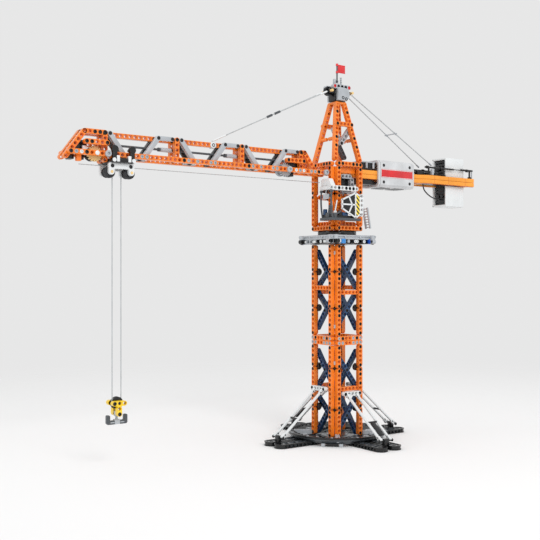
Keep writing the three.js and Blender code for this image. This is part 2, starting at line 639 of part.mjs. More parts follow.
function buildJib() {
  const jib = new THREE.Group();
  jib.position.z = CHORD_Z * PITCH_MM;
  add(jib, 'jib_front', 'orange', jibFront());
  add(jib, 'jib_rear', 'orange', jibRear());
  add(jib, 'drive_shaft', 'darkGrey', driveShaft());
  add(jib, 'tip_pulley', 'tan', pulleyShaft(TIP_AXLE, 16, 1.42));
  add(jib, 'root_pulley', 'lightGrey', pulleyShaft(ROOT_AXLE, 16, 1.42));
  const runZ = ROPE_RUN_Z - CHORD_Z;
  add(jib, 'jib_rope', 'string', rod(vec(-60.6, 0, runZ), vec(-4.9, 0, runZ), ROPE_R, 8));
  return jib;
}

// ---- trolley: drawn round its own middle ----
function trolleyBody() {
  const plateOutline = new THREE.Shape();
  plateOutline.absarc(SHEAVE_X, SHEAVE_Z, 0.55, Math.PI, 2 * Math.PI, false);
  plateOutline.lineTo(SHEAVE_X + 0.55, 57);
  plateOutline.lineTo(-SHEAVE_X - 0.55, 57);
  plateOutline.absarc(-SHEAVE_X, SHEAVE_Z, 0.55, Math.PI, 2 * Math.PI, false);
  plateOutline.lineTo(-SHEAVE_X + 0.55, 55.9);
  plateOutline.lineTo(SHEAVE_X - 0.55, 55.9);
  const plates = [-2, 2].map((y) => plate(plateOutline, 0.8, vec(0, y, 0), vec(1, 0, 0), vec(0, -1, 0)));
  const frame = block([-2.2, 2.2], [-3.3, 3.3], [56.95, 57.85]);
  const well = block([-0.9, 0.9], [-1.3, 1.3], [56.8, 58]);
  const arms = [-1.6, 1.6].flatMap((x) => [-3, 3].map((y) => (
    beam(3, vec(x, y, 57.4), vec(0, 0, 1), vec(0, 1, 0), { thickness: 0.6, step: 2, width: 0.9 }))));
  const rollers = [-1.6, 1.6].flatMap((x) => [-1, 1].map((s) => (
    rod(vec(x, s * 2.8, 59.4), vec(x, s * 1.75, 59.4), 0.3, 8))));
  const axleEnds = [-SHEAVE_X, SHEAVE_X].flatMap((x) => [-1, 1].map((s) => (
    rod(vec(x, s * 2.3, SHEAVE_Z), vec(x, s * 2.6, SHEAVE_Z), 0.22, 8))));
  return join(cut(frame, well), plates, arms, rollers, axleEnds);
}

// A grooved wheel with its axle along Y.
function sheave(x) {
  const groove = 0.12;
  const profile = [[0, -0.45], [SHEAVE_R, -0.45], [SHEAVE_R, -0.3], [SHEAVE_R - groove, 0], [SHEAVE_R, 0.3],
    [SHEAVE_R, 0.45], [0, 0.45]];
  const wheel = new THREE.LatheGeometry(profile.map(([r, y]) => new THREE.Vector2(r, y)), 20);
  wheel.translate(x, 0, SHEAVE_Z);
  const axle = rod(vec(x, -1.52, SHEAVE_Z), vec(x, 1.52, SHEAVE_Z), 0.24, 8);
  return join(toMm(wheel), axle);
}

// One rope: down from the left sheave, round the hook's pulley and up to the right sheave.
function hoistRope() {
  const half = SHEAVE_X - SHEAVE_R;
  const route = new THREE.CurvePath();
  const bend = [range(0, 4).map((i) => {
    const angle = Math.PI + Math.PI * i / 4;
    return vec(half * Math.cos(angle), 0, HOOK_PULLEY_Z + half * Math.sin(angle));
  })].flat();
  const points = [vec(-half, 0, SHEAVE_Z), ...bend, vec(half, 0, SHEAVE_Z)];
  points.slice(1).forEach((point, i) => route.add(new THREE.LineCurve3(points[i], point)));
  return join(points.slice(1).map((point, i) => {
    const lead = point.clone().sub(points[i]).setLength(ROPE_R * 0.6);
    return rod(points[i].clone().sub(lead), point.clone().add(lead), ROPE_R, 6);
  }));
}

// ---- hook ----
function hookBlock() {
  const tee = polygon([[-1.45, 11.85], [-0.45, 11.85], [-0.45, 10.25], [0.45, 10.25], [0.45, 11.85],
    [1.45, 11.85], [1.45, 12.85], [-1.45, 12.85]]);
  const holes = [[-1, 12.35], [0, 12.35], [1, 12.35], [0, 11.35], [0, 10.65]];
  holes.forEach(([x, z]) => tee.holes.push(drilledHole(x, z)));
  const sides = [-1, 1].map((y) => plate(tee, 0.8, vec(0, y, 0), vec(1, 0, 0), vec(0, -1, 0)));
  const pulley = rod(vec(0, -0.45, HOOK_PULLEY_Z), vec(0, 0.45, HOOK_PULLEY_Z), 0.72, 16);
  const pin = rod(vec(0, -1.5, HOOK_PULLEY_Z), vec(0, 1.5, HOOK_PULLEY_Z), 0.36, 8);
  const lowPin = rod(vec(0, -1.5, 10.65), vec(0, 1.5, 10.65), 0.36, 8);
  const link = block([-0.4, 0.4], [-0.55, 0.55], [9.85, 10.85]);
  return join(sides, pulley, pin, lowPin, link);
}

function loadHook() {
  const shank = rod(vec(0, 0, 8.95), vec(0, 0, 9.8), 0.3, 10);
  const arch = new THREE.Shape();
  arch.moveTo(-2.1, 10.15);
  arch.lineTo(-2.1, 8.95);
  arch.absarc(-1.5, 8.95, 0.6, Math.PI, 1.5 * Math.PI, false);
  arch.absarc(1.5, 8.95, 0.6, 1.5 * Math.PI, 2 * Math.PI, false);
  arch.lineTo(2.1, 10.15);
  arch.lineTo(1.4, 10.15);
  arch.lineTo(1.4, 9.15);
  arch.lineTo(-1.4, 9.15);
  arch.lineTo(-1.4, 10.15);
  return join(shank, plate(arch, 0.9, vec(0, 0, 0), vec(1, 0, 0), vec(0, -1, 0)));
}

function buildTrolley() {
  const trolley = new THREE.Group();
  trolley.position.x = TROLLEY_X * PITCH_MM;
  add(trolley, 'trolley_body', 'lightGrey', trolleyBody());
  add(trolley, 'sheave_outer', 'rubber', sheave(-SHEAVE_X));
  add(trolley, 'sheave_inner', 'rubber', sheave(SHEAVE_X));
  add(trolley, 'hoist_rope', 'string', hoistRope());
  add(trolley, 'hook_block', 'yellow', hookBlock());
  add(trolley, 'load_hook', 'darkGrey', loadHook());
  return trolley;
}

const crane = new THREE.Group();
crane.add(buildBase(), buildMast(), buildSuperstructure(), buildJib(), buildTrolley());
export default crane;
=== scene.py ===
import json
import math
import bmesh
import bpy
import numpy as np
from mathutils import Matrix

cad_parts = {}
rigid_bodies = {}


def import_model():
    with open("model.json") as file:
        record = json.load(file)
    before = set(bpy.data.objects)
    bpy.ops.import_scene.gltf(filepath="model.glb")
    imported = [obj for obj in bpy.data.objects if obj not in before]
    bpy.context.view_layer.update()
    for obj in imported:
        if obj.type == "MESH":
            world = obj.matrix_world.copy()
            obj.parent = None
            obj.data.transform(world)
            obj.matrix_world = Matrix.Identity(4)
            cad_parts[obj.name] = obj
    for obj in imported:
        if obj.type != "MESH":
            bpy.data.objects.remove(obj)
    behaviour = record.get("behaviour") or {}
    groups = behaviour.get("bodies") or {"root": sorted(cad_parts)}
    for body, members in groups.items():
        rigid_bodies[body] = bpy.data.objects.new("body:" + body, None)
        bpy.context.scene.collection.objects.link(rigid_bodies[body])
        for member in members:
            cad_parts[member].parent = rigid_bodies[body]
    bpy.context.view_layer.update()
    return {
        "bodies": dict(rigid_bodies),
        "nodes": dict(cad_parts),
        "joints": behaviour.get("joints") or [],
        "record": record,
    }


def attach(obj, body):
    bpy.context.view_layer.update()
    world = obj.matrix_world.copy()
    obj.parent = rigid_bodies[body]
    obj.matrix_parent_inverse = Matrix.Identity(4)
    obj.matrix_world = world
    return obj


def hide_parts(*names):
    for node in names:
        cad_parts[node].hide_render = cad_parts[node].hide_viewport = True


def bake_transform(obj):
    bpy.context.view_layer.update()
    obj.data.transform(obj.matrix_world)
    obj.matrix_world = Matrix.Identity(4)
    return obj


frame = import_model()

# ==== Camera, studio light and floor ====
# The view of the finished crane on a pale bench, under one large soft lamp and a weaker one.
camera = bpy.data.objects.new("camera", bpy.data.cameras.new("camera"))
camera.location = (-0.98688, -1.21568, 0.28939)
camera.rotation_euler = (math.pi / 2, 0, math.radians(-35.368))
camera.data.lens = 58.57
camera.data.sensor_width = 36
camera.data.shift_x = -0.01885
camera.data.shift_y = 0.01022
bpy.context.scene.collection.objects.link(camera)
bpy.context.scene.camera = camera


def soft_lamp(name, at, size, watts, aim=(0, 0, 0.3)):
    lamp = bpy.data.objects.new(name, bpy.data.lights.new(name, "AREA"))
    lamp.data.size = size
    lamp.data.energy = watts
    lamp.location = at
    away = np.subtract(at, aim)
    lamp.rotation_euler = (math.atan2(math.hypot(away[0], away[1]), away[2]), 0,
                           math.atan2(away[0], -away[1]))
    bpy.context.scene.collection.objects.link(lamp)


soft_lamp("key_lamp", (-0.5, -2.5, 2.0), 1.3, 34)
soft_lamp("fill_lamp", (-2.4, 0.4, 1.2), 1.8, 9)
world = bpy.data.worlds.new("studio")
world.use_nodes = True
world.node_tree.nodes["Background"].inputs["Color"].default_value = (1, 1, 1, 1)
world.node_tree.nodes["Background"].inputs["Strength"].default_value = 0.8
bpy.context.scene.world = world
bpy.context.scene.view_settings.view_transform = "Standard"


def node_of(tree, kind, values=(), feeds=(), **settings):
    """A new node with its settings, its sockets' values and the outputs that feed its sockets."""
    node = tree.nodes.new(kind)
    for key, value in settings.items():
        setattr(node, key, value)
    for socket, value in dict(values).items():
        node.inputs[socket].default_value = value
    for socket, source in dict(feeds).items():
        tree.links.new(source, node.inputs[socket])
    return node


def bench_top(half=4, fade_from=0.35, fade_to=1.7):
    """A matt floor that fades out round the crane."""
    paint = bpy.data.materials.new("bench")
    paint.use_nodes = True
    tree = paint.node_tree
    tree.nodes.clear()
    spot = node_of(tree, "ShaderNodeTexCoord")
    reach = node_of(tree, "ShaderNodeVectorMath", feeds={0: spot.outputs["Object"]}, operation="LENGTH")
    fade = node_of(tree, "ShaderNodeMapRange", {"From Min": fade_from, "From Max": fade_to},
                   {"Value": reach.outputs["Value"]}, interpolation_type="SMOOTHSTEP")
    matt = node_of(tree, "ShaderNodeBsdfDiffuse", {"Color": (0.93, 0.93, 0.93, 1)})
    clear = node_of(tree, "ShaderNodeBsdfTransparent")
    mix = node_of(tree, "ShaderNodeMixShader", feeds={
        0: fade.outputs["Result"], 1: matt.outputs[0], 2: clear.outputs[0]})
    node_of(tree, "ShaderNodeOutputMaterial", feeds={"Surface": mix.outputs[0]})
    top = bpy.data.meshes.new("bench")
    top.from_pydata([(-half, -half, 0), (half, -half, 0), (half, half, 0), (-half, half, 0)], [],
                    [(0, 1, 2, 3)])
    top.materials.append(paint)
    bench = bpy.data.objects.new("bench", top)
    bpy.context.scene.collection.objects.link(bench)


bench_top()

# ==== Drilled beams ====
# The toy's main part: a bar with round ends and a stepped hole in every module of the 8 mm grid,
# moulded in glossy ABS. One cell of the mould is repeated by a node tree and the cells are welded.
HALF_WIDTH, RIM = 0.48, 0.035
HOLE, STEP_RADIUS, STEP_DEPTH, HOLE_SIDES = 0.3, 0.3875, 0.1, 12
TINY = 1e-6


def hole_cell(name, round_end):
    """One module of a beam, open towards its neighbours; a round end closes its +X side."""
    flat = HALF_WIDTH - RIM
    angles = [2 * math.pi * i / HOLE_SIDES for i in range(HOLE_SIDES)]
    corners = [math.atan2(sy * flat, sx * 0.5) % (2 * math.pi)
               for sx in (-1, 1) for sy in (-1, 1) if not (round_end and sx > 0)]
    around = sorted([(a, True) for a in angles] + [(a, False) for a in corners])

    def rim_point(angle, reach):
        c, s = math.cos(angle), math.sin(angle)
        if round_end and c > -1e-9:
            return (c * reach, s * reach)
        t = min(0.5 / abs(c) if abs(c) > 1e-9 else 9, flat / abs(s) if abs(s) > 1e-9 else 9)
        x, y = c * t, s * t
        return (x, math.copysign(reach, y)) if abs(abs(y) - flat) < TINY else (x, y)

    shell = bmesh.new()
    levels = ((HALF_WIDTH, flat), (flat, HALF_WIDTH), (-flat, HALF_WIDTH), (-HALF_WIDTH, flat))
    skins = [[shell.verts.new((*rim_point(a, reach), z)) for a, _ in around] for z, reach in levels]
    step_z = HALF_WIDTH - STEP_DEPTH
    bores = [[shell.verts.new((r * math.cos(a), r * math.sin(a), z)) for a in angles]
             for r, z in ((STEP_RADIUS, HALF_WIDTH), (STEP_RADIUS, step_z), (HOLE, step_z), (HOLE, -step_z),
                          (STEP_RADIUS, -step_z), (STEP_RADIUS, -HALF_WIDTH))]
    where = [i for i, (_, on_hole) in enumerate(around) if on_hole]
    for i in range(HOLE_SIDES):
        j = (i + 1) % HOLE_SIDES
        stop = where[j] if where[j] > where[i] else where[j] + len(around)
        for skin, bore in ((skins[0], bores[0]), (skins[3], bores[5])):
            shell.faces.new([skin[m % len(around)] for m in range(where[i], stop + 1)] + [bore[j], bore[i]])
        for upper, lower in zip(bores, bores[1:]):
            shell.faces.new([upper[i], upper[j], lower[j], lower[i]])
    for m in range(len(around)):
        n = (m + 1) % len(around)
        if all(abs(abs(skins[0][i].co.x) - 0.5) < TINY for i in (m, n)):
            continue
        for upper, lower in zip(skins, skins[1:]):
            shell.faces.new([upper[m], upper[n], lower[n], lower[m]])
    mesh = bpy.data.meshes.new(name)
    shell.to_mesh(mesh)
    shell.free()
    return bpy.data.objects.new(name, mesh)


MIDDLE_CELL = hole_cell("middle_cell", False)
END_CELL = hole_cell("end_cell", True)


def new_tree(name, **inputs):
    """An empty geometry node tree with named inputs, and the outputs of its input node."""
    tree = bpy.data.node_groups.new(name, "GeometryNodeTree")
    tree.interface.new_socket("Geometry", in_out="OUTPUT", socket_type="NodeSocketGeometry")
    for socket, kind in {"Geometry": "Geometry", **inputs, "Finish": "Material"}.items():
        tree.interface.new_socket(socket, in_out="INPUT", socket_type="NodeSocket" + kind)
    return tree, node_of(tree, "NodeGroupInput").outputs


def finished(tree, shape, given):
    finish = node_of(tree, "GeometryNodeSetMaterial", feeds={"Geometry": shape, "Material": given["Finish"]})
    node_of(tree, "NodeGroupOutput", feeds={"Geometry": finish.outputs["Geometry"]})
    return tree


def beam_tree():
    tree, given = new_tree("drilled_beam", **{
        "Holes": "Int", "Pitch": "Float", "Middle cell": "Object", "End cell": "Object"})
    between = node_of(tree, "ShaderNodeMath", {1: 2}, {0: given["Holes"]}, operation="SUBTRACT")
    last = node_of(tree, "ShaderNodeMath", {1: 1}, {0: given["Holes"]}, operation="SUBTRACT")
    reach = node_of(tree, "ShaderNodeMath", feeds={0: last.outputs[0], 1: given["Pitch"]},
                    operation="MULTIPLY")
    first_at = node_of(tree, "ShaderNodeCombineXYZ", feeds={"X": given["Pitch"]}).outputs[0]
    far_at = node_of(tree, "ShaderNodeCombineXYZ", feeds={"X": reach.outputs[0]}).outputs[0]
    row = node_of(tree, "GeometryNodeMeshLine", feeds={
        "Count": between.outputs[0], "Start Location": first_at, "Offset": first_at}, mode="OFFSET")
    middle = node_of(tree, "GeometryNodeObjectInfo",
                     feeds={"Object": given["Middle cell"]}).outputs["Geometry"]
    end = node_of(tree, "GeometryNodeObjectInfo", feeds={"Object": given["End cell"]}).outputs["Geometry"]
    repeat = node_of(tree, "GeometryNodeInstanceOnPoints",
                     feeds={"Points": row.outputs["Mesh"], "Instance": middle})
    near_end = node_of(tree, "GeometryNodeTransform", {"Rotation": (0, 0, math.pi)}, {"Geometry": end})
    far_end = node_of(tree, "GeometryNodeTransform", feeds={"Geometry": end, "Translation": far_at})
    whole = node_of(tree, "GeometryNodeJoinGeometry")
    for part in (repeat.outputs["Instances"], near_end.outputs["Geometry"], far_end.outputs["Geometry"]):
        tree.links.new(part, whole.inputs["Geometry"])
    real = node_of(tree, "GeometryNodeRealizeInstances", feeds={"Geometry": whole.outputs["Geometry"]})
    weld = node_of(tree, "GeometryNodeMergeByDistance", {"Distance": 0.0005},
                   {"Geometry": real.outputs["Geometry"]})
    return finished(tree, weld.outputs["Geometry"], given)


BEAM_TREE = beam_tree()


def linear(red, green, blue):
    share = [c / 255 for c in (red, green, blue)]
    return tuple(c / 12.92 if c <= 0.04045 else ((c + 0.055) / 1.055) ** 2.4 for c in share)


def plastic(name, rgb, rough=0.28, grain=0.12, coat=0.25, mottle=0.07):
    """Moulded plastic: faintly clouded in colour and gloss, with a very fine grain."""
    material = bpy.data.materials.new(name)
    material.use_nodes = True
    tree = material.node_tree
    spot = node_of(tree, "ShaderNodeTexCoord").outputs["Object"]
    clouds, smudges, pores = [
        node_of(tree, "ShaderNodeTexNoise", {"Scale": scale, "Detail": detail},
                {"Vector": spot}).outputs["Fac"]
        for scale, detail in ((55, 5), (140, 3), (2600, 2))]
    tint = node_of(tree, "ShaderNodeValToRGB", feeds={"Fac": clouds})
    for stop, at, shade in zip(tint.color_ramp.elements, (0.3, 0.7), (1 - 2 * mottle, 1 + mottle)):
        stop.position = at
        stop.color = (*[min(1, c * shade) for c in linear(*rgb)], 1)
    gloss = node_of(tree, "ShaderNodeMapRange", {
        "From Min": 0.3, "From Max": 0.7, "To Min": rough - 0.06, "To Max": rough + 0.1}, {"Value": smudges})
    relief = node_of(tree, "ShaderNodeBump", {"Strength": grain, "Distance": 0.0001}, {"Height": pores})
    shader = tree.nodes["Principled BSDF"]
    for socket, source in (("Base Color", tint.outputs["Color"]), ("Roughness", gloss.outputs["Result"]),
                           ("Normal", relief.outputs["Normal"])):
        tree.links.new(source, shader.inputs[socket])
    shader.inputs["Coat Weight"].default_value = coat
    shader.inputs["Coat Roughness"].default_value = 0.2
    return material


ORANGE = plastic("orange_abs", (243, 129, 32))


def grown(tree, base, **inputs):
    """The mesh a node tree makes from a base mesh, as points and faces."""
    blank = bpy.data.objects.new("blank", base)
    bpy.context.scene.collection.objects.link(blank)
    modifier = blank.modifiers.new("grow", "NODES")
    modifier.node_group = tree
    for item in tree.interface.items_tree:
        if item.in_out == "INPUT" and item.name in inputs:
            modifier[item.identifier] = inputs[item.name]
    mesh = bpy.data.meshes.new_from_object(blank.evaluated_get(bpy.context.evaluated_depsgraph_get()))
    blank.modifiers.clear()
    shape = np.array([v.co for v in mesh.vertices]), [tuple(p.vertices) for p in mesh.polygons]
    bpy.data.objects.remove(blank)
    bpy.data.meshes.remove(mesh)
    return shape


BEAMS = {}


def beam(holes):
    """A beam along +X from its first hole at the origin, its holes along Z."""
    if holes not in BEAMS:
        BEAMS[holes] = grown(BEAM_TREE, bpy.data.meshes.new("row"), **{
            "Holes": holes, "Pitch": 1.0, "Middle cell": MIDDLE_CELL, "End cell": END_CELL, "Finish": ORANGE})
    return BEAMS[holes]


# ==== Friction pins ====
# Short hollow black pins with a collar sit in the beams' holes; a node tree stands one on every
# point, turned the way the hole faces.
BLACK = plastic("black_abs", (15, 16, 18), coat=0.08, mottle=0.12)
PIN_PROFILE = [(0, 0.1), (0.28, 0.1), (0.28, 0.39), (0.36, 0.4), (0.365, 0.46), (0.34, 0.485), (0.22, 0.485),
               (0.2, 0.46), (0.2, 0.3), (0, 0.3)]


def turned_part(profile, sides=20):
    """A part turned on the Z axis; the profile is a list of (radius, height) from pole to pole,
    or a closed loop where no point lies on the axis."""
    loop = profile[0][0] > 1e-9
    points, rings = [], []
    for radius, height in profile:
        count = sides if radius > 1e-9 else 1
        rings.append(list(range(len(points), len(points) + count)))
        points += [(radius * math.cos(2 * math.pi * i / sides), radius * math.sin(2 * math.pi * i / sides),
                    height)
                   for i in range(count)]
    faces = []
    for low, high in zip(rings, rings[1:] + (rings[:1] if loop else [])):
        for i in range(sides):
            j = (i + 1) % sides
            ring = [low[i % len(low)], low[j % len(low)], high[j % len(high)], high[i % len(high)]]
            faces.append(list(dict.fromkeys(ring)))
    return points, faces


def shape_object(name, shape):
    mesh = bpy.data.meshes.new(name)
    mesh.from_pydata([tuple(p) for p in shape[0]], [], [tuple(f) for f in shape[1]])
    return bpy.data.objects.new(name, mesh)


def standing_tree():
    """Stands a shape on every point of a mesh, its Z along the point's 'facing'."""
    tree, given = new_tree("stand_on_points", Shape="Object")
    facing = node_of(tree, "GeometryNodeInputNamedAttribute", {"Name": "facing"}, data_type="FLOAT_VECTOR")
    turn = node_of(tree, "FunctionNodeAlignRotationToVector", feeds={"Vector": facing.outputs["Attribute"]},
                   axis="Z")
    shape = node_of(tree, "GeometryNodeObjectInfo", feeds={"Object": given["Shape"]})
    stand = node_of(tree, "GeometryNodeInstanceOnPoints", feeds={
        "Points": given["Geometry"], "Instance": shape.outputs["Geometry"],
                                                                 "Rotation": turn.outputs["Rotation"]})
    real = node_of(tree, "GeometryNodeRealizeInstances", feeds={"Geometry": stand.outputs["Instances"]})
    return finished(tree, real.outputs["Geometry"], given)


STANDING_TREE = standing_tree()
PIN = shape_object("friction_pin", turned_part(PIN_PROFILE, 12))


def stood(shape, spots):
    """The shape repeated; spots is a list of (point, facing)."""
    mesh = bpy.data.meshes.new("spots")
    mesh.from_pydata([tuple(p) for p, _ in spots], [], [])
    facing = mesh.attributes.new("facing", "FLOAT_VECTOR", "POINT")
    facing.data.foreach_set("vector", np.array([f for _, f in spots], float).ravel())
    return grown(STANDING_TREE, mesh, Shape=shape, Finish=BLACK)


def pins(spots):
    return stood(PIN, spots)


def pin_rows(y, xs, *levels, facing=-1):
    """Pins at one depth, at every x on every level, facing the front or, with 1, the back."""
    return pins([((x, y, z), (0, facing, 0)) for x in xs for z in levels])


# ==== Base legs ====
# Four flat legs in a cross: black girders with a row of rectangular openings, dark grey plates
# with slots between them, and two rounded toes each. They push onto a square grey hub.
MODULE = 0.008  # metres between two holes; shapes are drawn in modules
SIDES = ("front", "right", "back", "left")
DARK_GREY = plastic("dark_grey_abs", (70, 75, 80))
LIGHT_GREY = plastic("light_grey_abs", (176, 181, 186))
LEG_TIP, LEG_ROOT, TOE = 16.47, 3.84, 1.53


def turned(k):
    c, s = (1, 0, -1, 0)[k % 4], (0, 1, 0, -1)[k % 4]
    place = np.eye(4)
    place[:2, :2] = [[c, -s], [s, c]]
    return place


def placing(start, run, bore):
    """The place of a shape drawn along +X with its holes along +Z."""
    run = np.asarray(run, float) / np.linalg.norm(run)
    bore = np.asarray(bore, float)
    bore = bore - run * (bore @ run)
    bore /= np.linalg.norm(bore)
    place = np.eye(4)
    place[:3, 0], place[:3, 1], place[:3, 2], place[:3, 3] = run, np.cross(bore, run), bore, start
    return place


def across(x, y, z, bore=1):
    """The place of a shape that runs along +X and whose axis or holes lie along Y."""
    return placing((x, y, z), (1, 0, 0), (0, bore, 0))


def upright(x, y, z):
    """The place of a shape that runs up, with its holes along Y."""
    return placing((x, y, z), (0, 0, 1), (0, 1, 0))


def laid_flat(x, y, z):
    """The place of a shape that runs along +X, with its axis or holes along Z."""
    return placing((x, y, z), (1, 0, 0), (0, 0, 1))


def block(x, y, z, edge=0.05):
    """A box from its spans in X, Y and Z, with its edges rounded off."""
    shell = bmesh.new()
    bmesh.ops.create_cube(shell, size=1)
    for v in shell.verts:
        v.co = [(lo + hi) / 2 + c * (hi - lo) for c, (lo, hi) in zip(v.co, (x, y, z))]
    edge = min(edge, *(abs(hi - lo) * 0.45 for lo, hi in (x, y, z)))
    bmesh.ops.bevel(shell, geom=shell.edges[:], offset=edge, segments=2, affect="EDGES", profile=0.5)
    shell.verts.index_update()
    shape = [tuple(v.co) for v in shell.verts], [[v.index for v in f.verts] for f in shell.faces]
    shell.free()
    return shape


def bar(start, end, radius, sides=12, edge=0.04):
    """A round bar between two points, with rounded ends, and its place."""
    start, end = np.asarray(start, float), np.asarray(end, float)
    length = float(np.linalg.norm(end - start))
    axis = (end - start) / length
    side = (1, 0, 0) if abs(axis[0]) < 0.9 else (0, 1, 0)
    rim = min(edge, radius * 0.5)
    profile = [(0, 0), (radius - rim, 0), (radius, rim), (radius, length - rim), (radius - rim, length),
               (0, length)]
    return turned_part(profile, sides), placing(start, np.cross(side, axis), axis)


class Moulding:
    """Closed shapes drawn in modules, gathered into one piece and made metres at the end."""

    def __init__(self, *shapes):
        self.points, self.faces = [], []
        for shape in shapes:
            self.add(shape)

    def add(self, shape, place=None):
        points, faces = shape
        points = np.asarray(points, float)
        if place is not None:
            points = points @ place[:3, :3].T + place[:3, 3]
        first = sum(len(p) for p in self.points)
        self.points.append(points)
        self.faces.extend([tuple(first + i for i in face) for face in faces])

    def all_round(self, draw):
        """draw(adder, k) makes the front (-Y) side's shapes; they are repeated on all four sides."""
        for k in range(4):
            draw(lambda shape, place=np.eye(4), k=k: self.add(shape, turned(k) @ place), k)
        return self

    def piece(self, name, material, body, slot, *nodes, smooth=38):
        mesh = bpy.data.meshes.new(name)
        mesh.from_pydata((np.concatenate(self.points) * MODULE).tolist(), [], self.faces)
        shell = bmesh.new()
        shell.from_mesh(mesh)
        bmesh.ops.recalc_face_normals(shell, faces=shell.faces)
        shell.to_mesh(mesh)
        shell.free()
        mesh.shade_smooth()
        mesh.set_sharp_from_angle(angle=math.radians(smooth))
        mesh.materials.append(material)
        piece = bpy.data.objects.new(name, mesh)
        bpy.context.scene.collection.objects.link(piece)
        if body:
            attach(piece, body)
        if nodes:
            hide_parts(*nodes)
        return piece



def toe_ring(centre, outer, inner, low, high, steps=14):
    """Half a ring round a toe's end, with square rims."""
    points, faces = [], []
    for i in range(steps + 1):
        a = -math.pi * i / steps
        for r, z in ((inner, low), (outer, low), (outer, high), (inner, high)):
            points.append((centre[0] + r * math.cos(a), centre[1] + r * math.sin(a), z))
    for i in range(steps):
        for m in range(4):
            n = (m + 1) % 4
            faces.append([4 * i + m, 4 * i + n, 4 * i + 4 + n, 4 * i + 4 + m])
    faces += [[0, 1, 2, 3], [4 * steps + 3, 4 * steps + 2, 4 * steps + 1, 4 * steps]]
    return points, faces


def leg_girders(add, k):
    for side in (-1, 1):
        middle = side * (0.3 + TOE)
        for x in (middle - TOE + 0.22, middle + TOE - 0.22):
            wall = (x - 0.2, x + 0.2)
            add(block(wall, (-LEG_TIP, -LEG_ROOT), (0.02, 0.2), 0.03))
            add(block(wall, (-LEG_TIP, -LEG_ROOT), (0.72, 0.94), 0.03))
            for n in range(13):
                y = -LEG_ROOT - 0.2 - n
                add(block((x - 0.17, x + 0.17), (y - 0.17, y + 0.17), (0.15, 0.78), 0.02))
        add(toe_ring((middle, -LEG_TIP), TOE, TOE - 0.42, 0.02, 0.2))
        add(toe_ring((middle, -LEG_TIP), TOE, TOE - 0.42, 0.72, 0.94))
        add(toe_ring((middle, -LEG_TIP), TOE - 0.12, TOE - 0.32, 0.15, 0.78))
        add(turned_part([(0.42, 0.02), (0.8, 0.02), (0.8, 0.86), (0.42, 0.86)], 20),
            laid_flat(middle, -LEG_TIP, 0))
        add(block((middle - 0.15, middle + 0.15), (-LEG_TIP - 1.15, -LEG_TIP - 0.75), (0.1, 0.8), 0.02))
    add(block((-0.35, 0.35), (-14.3, -13.7), (0.1, 0.85)))


Moulding().all_round(leg_girders).piece("base_girders", BLACK, "foundation", "black_plastic",
                                        *[f"base_leg_{s}" for s in SIDES])


def leg_plates(add, k):
    for side in (-1, 1):
        middle = side * (0.3 + TOE)
        add(block((middle - 1.06, middle + 1.06), (-LEG_TIP + 0.2, -LEG_ROOT), (0.3, 0.42)))
        for n in range(6):
            y = -LEG_ROOT - 0.35 - 2.05 * n
            add(block((middle - 1.06, middle + 1.06), (y - 0.3, y + 0.3), (0.4, 0.82)))
            for x in (middle - 0.86, middle + 0.86):
                add(block((x - 0.2, x + 0.2), (y - 1.8, y), (0.4, 0.82), 0.03))
        for n in range(5):
            y = -LEG_ROOT - 1.4 - 2.05 * n
            add(turned_part([(0.2, 0.4), (0.42, 0.4), (0.42, 0.7), (0.2, 0.7)], 12),
                laid_flat(middle, y, 0))


plates = Moulding().all_round(leg_plates)
plates.add(block((-3.3, 3.3), (-3.62, 3.62), (0, 0.9)))
plates.add(block((-3.62, 3.62), (-3.3, 3.3), (0.02, 0.88)))
plates.add(turned_part([(1.2, 0.8), (2.4, 0.8), (2.4, 1.0), (1.2, 1.0)], 28))
plates.piece("base_plates", DARK_GREY, "foundation", "dark_grey_plastic", "base_hub")

# Grey and white connectors bridge the corners between neighbouring legs, under the ring.
corner_links = Moulding()


def corner_link(add, k):
    for reach, wide in ((4.4, 0.45), (6.2, 0.45)):
        slant = np.array([math.cos(-math.pi / 4), math.sin(-math.pi / 4), 0])
        aside = np.array([-slant[1], slant[0], 0])
        middle = slant * reach + (0, 0, 0.5)
        half = reach * 0.36
        add(*bar(middle - aside * half, middle + aside * half, wide * 0.8))
    add(block((3.7, 4.9), (-4.9, -3.7), (0.1, 0.8)))
    add(beam(5), placing((4.6, -3.7, 1.42), (0.8, -0.6, 0), (0, 0, 1)))


corner_links.all_round(corner_link)
corner_links.piece("corner_links", LIGHT_GREY, "foundation", "light_grey_plastic")

# ==== Base ring ====
# A black hoop in four joined segments lies on the legs; short ribs run round its inner wall
# and a conical skirt slopes down inside it.
RING_PROFILE = [(10.0, 1.52), (10.85, 1.52), (10.98, 1.6), (10.98, 1.9), (10.86, 2.0), (10.4, 2.0),
                (10.3, 1.86),
                (9.8, 1.84), (9.25, 1.62), (8.6, 1.2), (8.35, 1.12), (8.35, 1.02), (9.3, 1.02)]
RING_RIBS = 48
ring = Moulding(turned_part(RING_PROFILE, 96))
RIB = shape_object("ring_rib", block((-0.12, 0.12), (-0.09, 0.09), (-0.5, 0.5), 0.02))
rib_spots = [((10.02 * math.cos(a), 10.02 * math.sin(a), 1.86), (math.cos(a), math.sin(a), 0))
             for a in np.arange(RING_RIBS) * 2 * math.pi / RING_RIBS]
ring.add(stood(RIB, rib_spots))
for k in range(4):
    angle = math.pi / 4 + k * math.pi / 2
    out = np.array([math.cos(angle), math.sin(angle), 0])
    ring.add(block((9.9, 10.98), (-0.5, 0.5), (1.5, 2.0)), placing((0, 0, 0), out, (0, 0, 1)))
    ring.add(block((9.1, 10.0), (-1.3, 1.3), (0.08, 0.6)), placing((0, 0, 0), out, (0, 0, 1)))
ring.piece("base_hoop", BLACK, "foundation", "black_plastic", "base_ring")

